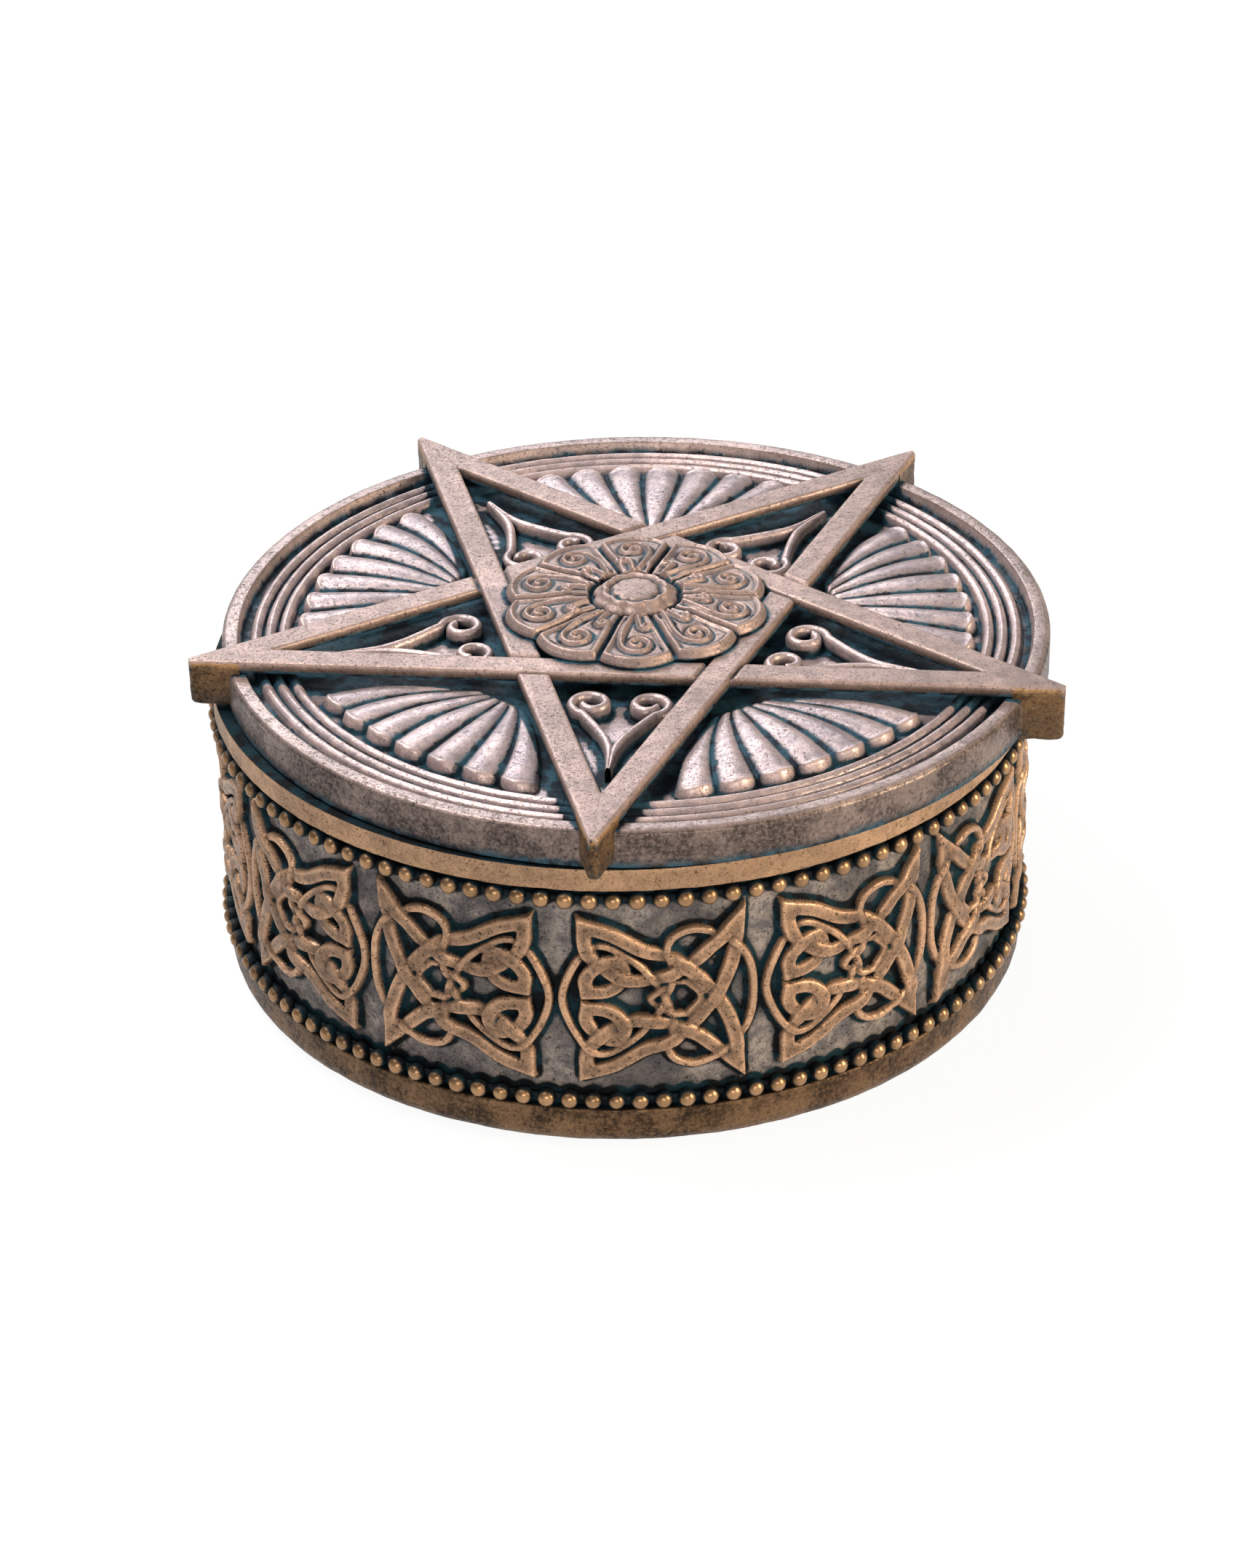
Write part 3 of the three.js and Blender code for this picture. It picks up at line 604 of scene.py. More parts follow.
def knot_wall():
    """The cup's wall with its thirteen woven panels, as ground pieces and raised pieces."""
    one = panel_field()
    mirrored = np.roll(one[::-1], 1, 0)
    relief = np.concatenate([one if i in PLAIN_WAY_PANELS else mirrored for i in range(PANEL_COUNT)])
    relief = blurred(relief, 0.6, 0.6)
    columns = PANEL_COLUMNS * PANEL_COUNT
    start = math.radians(FIRST_PANEL_ANGLE) - math.pi / PANEL_COUNT
    angle = start + 2 * math.pi * np.arange(columns) / columns
    z = np.linspace(FOOT_BAND_TOP, RIM_BAND_BOTTOM, WALL_ROWS)
    angles, heights = np.meshgrid(angle, z, indexing="ij")
    # Painted shade on the wall at the feet of the ribbons, round the beads and under the bands.
    standing = np.maximum(relief, bead_field(angles, heights))
    hollow, wear = wall_shade(relief, standing, z[1] - z[0])

    raised = smooth(relief / 0.6)
    across = np.linspace(-1, 1, PANEL_COLUMNS + 1) * math.pi * WALL_RADIUS / PANEL_COUNT
    x, y = np.meshgrid(across, z, indexing="ij")
    faces = quads(PANEL_COLUMNS + 1, WALL_ROWS)
    for i in range(PANEL_COUNT):
        own = np.arange(i * PANEL_COLUMNS, (i + 1) * PANEL_COLUMNS + 1) % columns
        points = np.stack([x, y, relief[own]], 2).reshape(-1, 3)
        own_fields = [field[own].ravel() for field in (hollow, wear, 1 - raised)]
        is_raised = points[:, 2][faces].mean(1) > RAISED_FROM
        turn = math.radians(FIRST_PANEL_ANGLE) + i * 2 * math.pi / PANEL_COUNT
        number = f"{i + 1:02d}"
        for name, chosen, material, node, slot in (
            ("woven_knot_" + number, is_raised, relief_bronze, "knot_panel_" + number, "relief_bronze"),
            ("cup_wall_" + number, ~is_raised, wall_bronze, "base_cup", "cup_bronze"),
        ):
            used, cells, shade, worn, ground = kept(points, faces[chosen], *own_fields)
            flat = source_mesh(
                name + "_flat", used, faces=cells, hollow=shade, wear=worn, ground=ground,
                soot=0.45 * (1 - worn) * (material is relief_bronze),
            )
            mesh, _ = grown(
                name, wrapped, flat, Wall_Radius=WALL_RADIUS * MM, Angle=turn, Swell=SWELL * MM,
                Swell_Grain=SWELL_GRAIN * MM, Dents=DENTS * MM, Grain=DENT_GRAIN * MM,
                Unevenness=0.0, Seed=3, Shift=(0.0, 0.0, 0.0), Finish=material,
            )
            place_piece(mesh, "base", [node], slot)


def cup_body():
    """Foot, bands, rim and inside of the cup. The wall between its bands lies behind the knot wall."""
    profile = softened([
        (0, RECESS_TOP), (FELT_RADIUS + 0.3, RECESS_TOP), (FELT_RADIUS + 0.3, FOOT_BOTTOM),
        (FOOT_RADIUS, FOOT_BOTTOM), (FOOT_RADIUS + 0.55, FOOT_BOTTOM + 0.22),
        (BAND_RADIUS - 0.15, FOOT_BOTTOM + FOOT_ROUND - 0.4), (BAND_RADIUS, FOOT_BOTTOM + FOOT_ROUND + 0.4),
        (BAND_RADIUS, FOOT_BAND_TOP), (HIDDEN_WALL, FOOT_BAND_TOP - 0.1),
        (HIDDEN_WALL, RIM_BAND_BOTTOM + 0.1), (RIM_RADIUS, RIM_BAND_BOTTOM),
        (RIM_RADIUS, CUP_HEIGHT), (BORE_RADIUS, CUP_HEIGHT),
        (BORE_RADIUS, CUP_FLOOR_TOP + FLOOR_FILLET), (BORE_RADIUS - 0.7, CUP_FLOOR_TOP + 0.7),
        (BORE_RADIUS - FLOOR_FILLET, CUP_FLOOR_TOP), (0, CUP_FLOOR_TOP),
    ])
    hollow, wear = profile_shade(profile)
    r, z = profile.T
    # The inside of the cup is made darker all over, and the rim's ledge under the lid and the wall behind
    # the bead rows get painted shade.
    hollow = np.where((r < BORE_RADIUS + 0.2) & (z > 2), 0.30, hollow)
    ledge = (z > CUP_HEIGHT - 0.12) & (r < RIM_RADIUS - 0.12) & (r > BORE_RADIUS + 0.3)
    behind_beads = (z > FOOT_BAND_TOP - 0.3) & (z < RIM_BAND_BOTTOM + 0.3) & (r > BORE_RADIUS + 1)
    hollow = np.where(ledge, 0.9, np.where(behind_beads & (r < BAND_RADIUS - 0.25), 1.0, hollow))
    soot = np.where((z < FOOT_BAND_TOP) & (r > FELT_RADIUS), 1.0, 0.0)
    wear = np.maximum(wear, 0.5 * ((z > RIM_BAND_BOTTOM) & (r > BAND_RADIUS - 0.3)))
    mesh, _ = turned_mesh(
        "cup_body", profile, CUP_STEPS, cup_bronze, uneven=0.3, coarse=3.2, seed=11,
        hollow=hollow, wear=wear, soot=soot,
    )
    place_piece(mesh, "base", ["base_cup"], "cup_bronze")


def felt_pad():
    """Felt disc under the cup."""
    profile = softened([
        (0, 0), (FELT_RADIUS, 0), (FELT_RADIUS, FELT_THICKNESS), (0, FELT_THICKNESS)
    ], rounding=0.14)
    mesh, _ = turned_mesh("felt_disc", profile, FELT_STEPS, felt)
    place_piece(mesh, "base", ["felt_pad"], "felt")


# Shapes that node trees make
class Shaper(Nodes):
    """Geometry Nodes tree with named inputs, which ends in real, uneven, smooth and dressed faces."""

    KINDS = {"int": "NodeSocketInt", "size": "NodeSocketFloat", "place": "NodeSocketVector"}
    KINDS |= {"finish": "NodeSocketMaterial", "shape": "NodeSocketGeometry"}

    def __init__(self, name, **inputs):
        super().__init__(bpy.data.node_groups.new(name, "GeometryNodeTree"))
        inputs |= {"Unevenness": "size", "Grain": "size", "Seed": "int"}
        inputs |= {"Shift": "place", "Finish": "finish"}
        for label, kind in inputs.items():
            label = label.replace("_", " ")
            self.tree.interface.new_socket(label, in_out="INPUT", socket_type=self.KINDS[kind])
        self.tree.interface.new_socket("Geometry", in_out="OUTPUT", socket_type="NodeSocketGeometry")
        self.given = self.add("NodeGroupInput").node.outputs

    def noise(self, grain, **place):
        """Noise of that grain about zero, over the given place or each point's own, moved by the seed."""
        sizes = {"W": self.given["Seed"], "Scale": self.maths("DIVIDE", 1.0, grain), "Detail": 2.0}
        noise = self.add("ShaderNodeTexNoise", {"noise_dimensions": "4D"}, **sizes, **place)
        return self.maths("SUBTRACT", noise, 0.5)

    def finish(self, shape):
        """Real faces, moved a little along their normals by a noise, smooth, shifted and dressed."""
        given = self.given
        loose = self.add("GeometryNodeRealizeInstances", Geometry=shape)
        real = self.add("GeometryNodeMergeByDistance", Geometry=loose, Distance=0.002 * MM)
        rise = self.times(self.noise(given["Grain"]), given["Unevenness"])
        normal = self.add("GeometryNodeInputNormal")
        push = self.add("ShaderNodeVectorMath", {"operation": "SCALE"}, Vector=normal, Scale=rise)
        rough = self.add("GeometryNodeSetPosition", Geometry=real, Offset=push)
        moved = self.add("GeometryNodeTransform", Geometry=rough, Translation=given["Shift"])
        smoothed = self.add("GeometryNodeSetShadeSmooth", Geometry=moved)
        dressed = self.add("GeometryNodeSetMaterial", Geometry=smoothed, Material=given["Finish"])
        self.add("NodeGroupOutput", Geometry=dressed)
        return self.tree


def turned_tree():
    """Profile turned round the upright axis. The profile is drawn as distance past the path and depth."""
    made = Shaper("turned_casting", Geometry="shape", Steps="int", Path_Radius="size")
    line = made.add("GeometryNodeMeshToCurve", Mesh=made.given["Geometry"])
    steps, radius = made.given["Steps"], made.given["Path Radius"]
    path = made.add("GeometryNodeCurvePrimitiveCircle", Resolution=steps, Radius=radius)
    return made.finish(made.add("GeometryNodeCurveToMesh", Curve=path, Profile_Curve=line))


def ring_tree():
    """Copies of one shape set at even steps round the lid's middle."""
    made = Shaper("set_round_lid", Geometry="shape", Count="int", First_Angle="size", Step="size")
    given = made.given
    spots = made.add("GeometryNodeMeshLine", Count=given["Count"], Offset=(0, 0, 0))
    turn = made.times(made.add("GeometryNodeInputIndex"), given["Step"])
    about = made.add("ShaderNodeCombineXYZ", Z=made.maths("ADD", turn, given["First Angle"]))
    shape = given["Geometry"]
    copies = made.add("GeometryNodeInstanceOnPoints", Points=spots, Instance=shape, Rotation=about)
    return made.finish(copies)


def wall_tree():
    """Flat panel of across, up and rise, laid round the cup's wall, with swells and dents on its ground."""
    sizes = ("Wall_Radius", "Angle", "Swell", "Swell_Grain", "Dents")
    made = Shaper("panel_round_cup", Geometry="shape", **dict.fromkeys(sizes, "size"))
    given, maths, times = made.given, made.maths, made.times
    flat = made.add("ShaderNodeSeparateXYZ", Vector=made.add("GeometryNodeInputPosition")).node.outputs
    angle = maths("ADD", maths("DIVIDE", flat[0], given["Wall Radius"]), given["Angle"])
    cosine, sine = maths("COSINE", angle), maths("SINE", angle)

    def around(reach):
        return made.add("ShaderNodeCombineXYZ", X=times(reach, cosine), Y=times(reach, sine), Z=flat[1])

    def rough(depth, grain):
        return times(made.noise(grain, Vector=around(given["Wall Radius"])), depth)

    ground = made.add("GeometryNodeInputNamedAttribute", {"data_type": "FLOAT"}, Name="ground")
    share = maths("ADD", times(ground, 0.75), 0.25)
    both = maths("ADD", rough(given["Swell"], given["Swell Grain"]), rough(given["Dents"], given["Grain"]))
    reach = maths("ADD", maths("ADD", given["Wall Radius"], flat[2]), times(both, share))
    placed = made.add("GeometryNodeSetPosition", Geometry=given["Geometry"], Position=around(reach))
    return made.finish(placed)


def bead_tree():
    """Beads of slightly different sizes set round a circle, and the string that joins them."""
    sizes = ("Circle_Radius", "Bead_Radius", "String_Radius", "String_Circle")
    made = Shaper("bead_row", Count="int", **dict.fromkeys(sizes, "size"))
    given = made.given
    circle = made.add("GeometryNodeMeshCircle", Vertices=given["Count"], Radius=given["Circle Radius"])
    ball = made.add("GeometryNodeMeshUVSphere", Segments=12, Rings=8, Radius=given["Bead Radius"])
    size = made.add("FunctionNodeRandomValue", {"data_type": "FLOAT"}, Seed=given["Seed"]).node
    size.inputs[2].default_value = 0.97
    size.inputs[3].default_value = 1.06
    beads = made.add("GeometryNodeInstanceOnPoints", Points=circle, Instance=ball, Scale=size.outputs[1])
    steps = 2 * BEAD_COUNT
    path = made.add("GeometryNodeCurvePrimitiveCircle", Resolution=steps, Radius=given["String Circle"])
    section = made.add("GeometryNodeCurvePrimitiveCircle", Resolution=6, Radius=given["String Radius"])
    string = made.add("GeometryNodeCurveToMesh", Curve=path, Profile_Curve=section)
    both = made.add("GeometryNodeJoinGeometry", Geometry=beads)
    made.feed(both.node.inputs[0], string)
    return made.finish(both)


def source_mesh(name, points, edges=None, faces=None, **fields):
    """Plain mesh in metres that a tree starts from, with its fields as point attributes."""
    mesh = bpy.data.meshes.new(name)
    points = np.asarray(points, float).reshape(-1, 3) * MM
    mesh.vertices.add(len(points))
    mesh.vertices.foreach_set("co", points.astype(np.float32).ravel())
    if edges is not None:
        mesh.edges.add(len(edges))
        mesh.edges.foreach_set("vertices", np.asarray(edges, np.int32).ravel())
    if faces is not None:
        mesh.loops.add(faces.size)
        mesh.loops.foreach_set("vertex_index", faces.astype(np.int32).ravel())
        mesh.polygons.add(len(faces))
        mesh.polygons.foreach_set("loop_start", np.arange(0, faces.size, 4, dtype=np.int32))
        mesh.polygons.foreach_set("loop_total", np.full(len(faces), 4, np.int32))
    mesh.update(calc_edges=faces is not None)
    shaded(mesh, **fields)
    return mesh


def grown(name, tree, mesh, **values):
    """What the tree makes of the mesh, as a plain mesh, and its points in millimetres."""
    maker = bpy.data.objects.new(name + "_maker", mesh)
    bpy.context.scene.collection.objects.link(maker)
    nodes = maker.modifiers.new(tree.name, "NODES")
    nodes.node_group = tree
    for item in tree.interface.items_tree:
        label = item.name.replace(" ", "_")
        if item.in_out == "INPUT" and label in values:
            nodes[item.identifier] = values[label]
    bpy.context.view_layer.update()
    made = maker.evaluated_get(bpy.context.evaluated_depsgraph_get())
    result = bpy.data.meshes.new_from_object(made)
    result.name = name
    bpy.data.objects.remove(maker)
    co = np.zeros(len(result.vertices) * 3, np.float32)
    result.vertices.foreach_get("co", co)
    return result, co.reshape(-1, 3) / MM


def field_of(mesh, label):
    """Point attribute of the mesh, as numbers."""
    values = np.zeros(len(mesh.vertices), np.float32)
    mesh.attributes[label].data.foreach_get("value", values)
    return values


def shaded(mesh, **fields):
    """Write the fields onto the mesh as point attributes for its finish."""
    for label, values in fields.items():
        layer = mesh.attributes.get(label) or mesh.attributes.new(label, "FLOAT", "POINT")
        layer.data.foreach_set("value", np.asarray(values, np.float32).ravel())


def place_piece(mesh, body, nodes, slot):
    """The mesh as a piece of the body, in place of one or more nodes."""
    piece = bpy.data.objects.new(mesh.name, mesh)
    bpy.context.scene.collection.objects.link(piece)
    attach(piece, body)
    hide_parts(*nodes)


def turned_mesh(name, profile, steps, material, uneven=0.0, coarse=3.0, seed=0, shift=(0, 0), **fields):
    """Profile from the axis below, outward and back to the axis above, turned by the tree."""
    path = 40.0
    drawn = np.stack([profile[:, 0] - path, -profile[:, 1], np.zeros(len(profile))], 1)[::-1]
    edges = [(i, i + 1) for i in range(len(profile) - 1)]
    mesh = source_mesh(name + "_profile", drawn, edges, **{label: v[::-1] for label, v in fields.items()})
    return grown(
        name, turned, mesh, Steps=steps, Path_Radius=path * MM, Unevenness=uneven * MM, Grain=coarse * MM,
        Seed=seed, Shift=(shift[0] * MM, shift[1] * MM, 0.0), Finish=material,
    )


def ring_mesh(name, grids, material, count, first, uneven, coarse, seed, way="up", **fields):
    """Grids of one shape, set round the lid's middle by the tree, at their place on the box."""
    points, faces, total = [], [], 0
    for grid in grids:
        points.append(grid.reshape(-1, 3))
        faces.append(facing(points[-1], quads(grid.shape[0], grid.shape[1]), way) + total)
        total += len(points[-1])
    mesh = source_mesh(name + "_shape", np.concatenate(points), faces=np.concatenate(faces), **fields)
    return grown(
        name, ring, mesh, Count=count, First_Angle=math.radians(first), Step=2 * math.pi / count,
        Unevenness=uneven * MM, Grain=coarse * MM, Seed=seed,
        Shift=(LID_SLIP[0] * MM, LID_SLIP[1] * MM, 0.0), Finish=material,
    )


turned, ring, wrapped, bead_string = turned_tree(), ring_tree(), wall_tree(), bead_tree()


def bead_row(name, node, z, seed):
    """One row of beads and its string."""
    start = bpy.data.meshes.new(name + "_start")
    mesh, at = grown(
        name, bead_string, start, Count=BEAD_COUNT, Circle_Radius=BEAD_CIRCLE * MM,
        Bead_Radius=BEAD_RADIUS * MM, String_Radius=STRING_RADIUS * MM,
        String_Circle=(BEAD_CIRCLE - STRING_INSET) * MM, Unevenness=0.0, Grain=1.0 * MM, Seed=seed,
        Shift=(0.0, 0.0, z * MM), Finish=bead_bronze,
    )
    # Painted shade on each bead: darker towards the wall and on its lower half; its most outward cap is
    # worn lighter.
    reach = np.hypot(at[:, 0], at[:, 1])
    low = np.clip((z - at[:, 2]) / BEAD_RADIUS, 0, 1)
    hollow = np.clip((BEAD_CIRCLE + 0.82 - reach) / 0.7 + 0.32 * low, 0, 1)
    shaded(mesh, hollow=hollow, wear=np.clip((reach - BEAD_CIRCLE - 0.7) / 0.4, 0, 1))
    place_piece(mesh, "base", [node], "bead_bronze")


# Lid
def polar(r, degrees):
    """Point at that distance and angle from the lid's middle."""
    a = math.radians(degrees)
    return np.array([r * math.cos(a), r * math.sin(a)])


def lid_profile():
    """Section of the lid: underside, locating lip, edge, rim, three reeds and the dish."""
    reeds = []
    for i in range(3, 0, -1):
        outer = DISH_EDGE + i * REED_PITCH
        land = DISH_TOP + REED_LAND
        reeds += [(outer, land - 0.3), (outer - 0.35, land + 0.62 * REED_HEIGHT)]
        reeds += [(outer - 0.9, land + REED_HEIGHT), (outer - 1.45, land + 0.62 * REED_HEIGHT)]
    return softened([
        (0, LID_UNDERSIDE), (LIP_RADIUS - LIP_WALL, LID_UNDERSIDE), (LIP_RADIUS - LIP_WALL, LIP_BOTTOM),
        (LIP_RADIUS, LIP_BOTTOM), (LIP_RADIUS, LID_BOTTOM), (LID_RADIUS, LID_BOTTOM),
        (LID_RADIUS, LID_RIM_TOP - 0.5), (LID_RADIUS - 0.5, LID_RIM_TOP),
        (LID_RIM_INNER + 0.5, LID_RIM_TOP), (LID_RIM_INNER, DISH_TOP + REED_LAND - 0.3),
        *reeds, (DISH_EDGE, DISH_TOP), (0, DISH_TOP),
    ], rounding=0.13)


def bar_grid():
    """One bar of the star, from point to point, with rounded edges and a dip where it passes under."""
    a, b = polar(STAR_REACH, 0), polar(STAR_REACH, BAR_TURN)
    length = np.hypot(*(b - a))
    along = (b - a) / length
    out = np.array([along[1], -along[0]])
    if out @ (a + b) < 0:
        out = -out
    half = BAR_WIDTH / 2
    u = np.linspace(-MITRE * math.cos(TIP), length + MITRE * math.cos(TIP), 540)
    inner = np.maximum(-half, np.maximum(-u * math.tan(TIP), -(length - u) * math.tan(TIP)))
    share = np.array([0, 0.02, 0.05, 0.09, 0.15, 0.24, 0.36, 0.5, 0.64, 0.76, 0.85, 0.91, 0.95, 0.98, 1])
    v = half + (inner - half)[:, None] * share[None]
    uu = np.broadcast_to(u[:, None], v.shape)
    corner = MITRE * math.cos(TIP)
    inner_away = np.hypot(np.maximum(np.maximum(corner - uu, uu - (length - corner)), 0), v + half)
    inside = np.clip(np.minimum(half - v, inner_away), 0, None)
    rounding = 0.42
    arc = np.sqrt(np.clip(rounding**2 - (rounding - inside) ** 2, 0, None))
    drop = np.where(inside < rounding, rounding - arc, 0)
    place = a + uu[..., None] * along + v[..., None] * out
    from_over_bar = np.abs(place @ polar(1, BAR_TURN) - STAR_REACH * math.sin(TIP))
    dip = 0.5 * (1 - smooth((from_over_bar - half - 0.2) / 0.45)) * (uu > length / 2)
    top = STAR_TOP - drop - dip
    side = np.broadcast_to([STAR_BOTTOM, STAR_BOTTOM + 0.25, STAR_BOTTOM + 0.6], (v.shape[0], 3))
    z = np.concatenate([side, top, side[:, ::-1]], 1)
    v = np.concatenate([v[:, :1]] * 3 + [v] + [v[:, -1:]] * 3, 1)
    flat = a + u[:, None, None] * along + v[..., None] * out
    for tip in (0, BAR_TURN):
        axis = polar(1, tip)
        past = np.maximum(flat @ axis - TIP_REACH, 0)
        flat = flat - past[..., None] * axis
    return np.concatenate([flat, z[..., None]], 2)


def tip_block_grid(bottom):
    """The block under a point of the star, with soft edges."""
    def half(x):
        return (STAR_REACH + MITRE - x) * math.tan(TIP) + 0.07
    blunt = TIP_REACH + 0.05
    corners = [(x, half(x)) for x in (TIP_BLOCK_INNER, blunt - 0.3)]
    corners += [(blunt, half(blunt) - 0.2)]
    corners += [(x, -y) for x, y in corners[::-1]]
    outline = softened(corners, spacing=0.1, rounding=0.16, tolerance=0.004)
    step = np.hypot(*np.diff(outline, axis=0).T)
    along = np.concatenate([[0], np.cumsum(step)])
    s = np.linspace(0, along[-1], 46)
    outline = np.stack([np.interp(s, along, outline[:, 0]), np.interp(s, along, outline[:, 1])], 1)
    middle = np.array([TIP_BLOCK_MIDDLE, 0])
    levels = [(0, 0.0), (0, 0.72), (0.07, 0.86), (0.22, 0.94), (0.5, 0.985), (0.9, 1.0)]
    levels += [(z, 1.0) for z in np.linspace(1.3, STAR_TOP - bottom - 0.55, 14)]
    levels += [(STAR_TOP - bottom - 0.38, 0.985), (STAR_TOP - bottom - 0.3, 0.94)]
    points = []
    for up, share in levels:
        flat = middle + (outline - middle) * share
        points.append(np.column_stack([flat, np.full(len(flat), bottom + up)]))
    return np.stack(points, 1)


def fan_grid():
    """Fluted leaf fan between two points of the star."""
    across = np.linspace(-1, 1, FAN_FLUTES * 22 + 1)
    along = np.linspace(0, 1, 74) ** 0.85
    c, g = np.meshgrid(across, along, indexing="ij")
    phase = (c + 1) / 2 * FAN_FLUTES
    p = phase - np.floor(phase)
    p = np.where(c >= 1, 1.0, p)
    ridge = np.sin(math.pi * p) ** 0.55
    outer = DISH_EDGE - 0.3
    reach = outer - 1.7 * (1 - np.sin(math.pi * p) ** 0.7) * g - FAN_INNER
    r = FAN_INNER + reach * g
    belly = 1.6 * np.sin(math.pi * g) * np.sign(c) * np.abs(c) ** 0.5
    spread = FAN_SPREAD * c * (0.3 + 0.7 * np.sqrt(g)) + belly
    turn = np.radians(spread)
    swell = np.sin(math.pi / 2 * g / 0.6)
    crown = 2.1 * (1 - 0.3 * c**2) * (0.55 + 0.45 * swell)
    groove = (0.35 + 0.5 * g) * (1 - ridge)
    end = smooth((1 - g) / 0.05) * smooth((1 - np.abs(c)) / 0.03) * smooth(g / 0.03 + 0.2)
    lip = 0.22 * hump((1 - g) * (outer - FAN_INNER) - 0.9, 0.4) * ridge
    z = ORNAMENT_BOTTOM - 0.35 + (0.35 + crown + lip - groove * 1.15) * end
    x, y = r * np.cos(turn), r * np.sin(turn)
    # The second value darkens the grooves between the flutes: painted shade mixed with dark patina.
    return np.stack([x, y, z], 2), np.clip(1.25 * (1 - ridge) ** 1.5, 0, 1) * end


def scroll_grids():
    """Pair of scrolls on one stem in an arm of the star, as two round-topped strands."""
    grids = []
    for side in (1, -1):
        centre = np.array([SCROLL_CENTRE, side * (SCROLL_RADIUS + 0.85)])
        share = np.linspace(0, 1, 110)
        turn = side * (math.radians(20) + share * 1.15 * 2 * math.pi)
        r = SCROLL_RADIUS * (1 - 0.6 * share)
        spiral = centre + np.stack([r * np.cos(turn), r * np.sin(turn)], 1)
        bend = (SCROLL_STEM + 25.5) / 2
        start = [(SCROLL_STEM, 0.1 * side), (bend, side * 0.75), tuple(spiral[0]), tuple(spiral[9])]
        lead = curve_through(start, False, 22)
        line = np.concatenate([lead[:44], spiral])
        d = np.gradient(line, axis=0)
        d /= np.hypot(*d.T)[:, None]
        across = np.stack([-d[:, 1], d[:, 0]], 1)
        t = np.linspace(0, 1, len(line))
        round_end = np.where(t > 0.97, np.sqrt(np.clip((1 - t) / 0.03, 0, 1)), 1)
        half = SCROLL_HALF_WIDTH * (0.45 + 0.55 * smooth(t / 0.15)) * round_end
        turns = np.linspace(0, math.pi, 11)
        offset = np.cos(turns)[None] * half[:, None]
        up = ORNAMENT_BOTTOM - 0.4 + 0.9 + 1.3 * np.sin(turns)[None] ** 0.7 * np.ones_like(offset)
        up[:, 0] = up[:, -1] = ORNAMENT_BOTTOM - 0.4
        flat = line[:, None] + across[:, None] * offset[..., None]
        grids.append(np.concatenate([flat, up[..., None]], 2))
    return grids


def petal_curls():
    """Raised lines of one petal, as across and out: a stem that ends in a large curl, and a small one."""
    share = np.linspace(0, 1, 44)
    turn = math.pi - share * 1.5 * 2 * math.pi
    r = 2.15 * (1 - 0.84 * share)
    large = np.stack([0.15 + r * np.cos(turn), 13.05 + r * np.sin(turn)], 1)
    foot = [(-0.35, 6.4), (-1.15, 8.6), (-1.85, 10.9)]
    stem = curve_through([*foot, tuple(large[0]), tuple(large[2])], False, 6)
    turn = math.radians(200) - share * 1.1 * 2 * math.pi
    r = 0.72 * (1 - 0.7 * share)
    small = np.stack([1.25 + r * np.cos(turn), 9.1 + r * np.sin(turn)], 1)
    root = curve_through([(0.25, 6.4), (0.32, 7.6), tuple(small[0]), tuple(small[2])], False, 6)
    return np.concatenate([stem[:18], large]), np.concatenate([root[:12], small])


def away_from(line, x, y):
    """Distance of the points from a polyline."""
    nearest = np.full(x.shape, np.inf)
    for a, b in zip(line[:-1], line[1:]):
        d = b - a
        t = np.clip(((x - a[0]) * d[0] + (y - a[1]) * d[1]) / max(d @ d, 1e-12), 0, 1)
        nearest = np.minimum(nearest, np.hypot(x - a[0] - t * d[0], y - a[1] - t * d[1]))
    return nearest


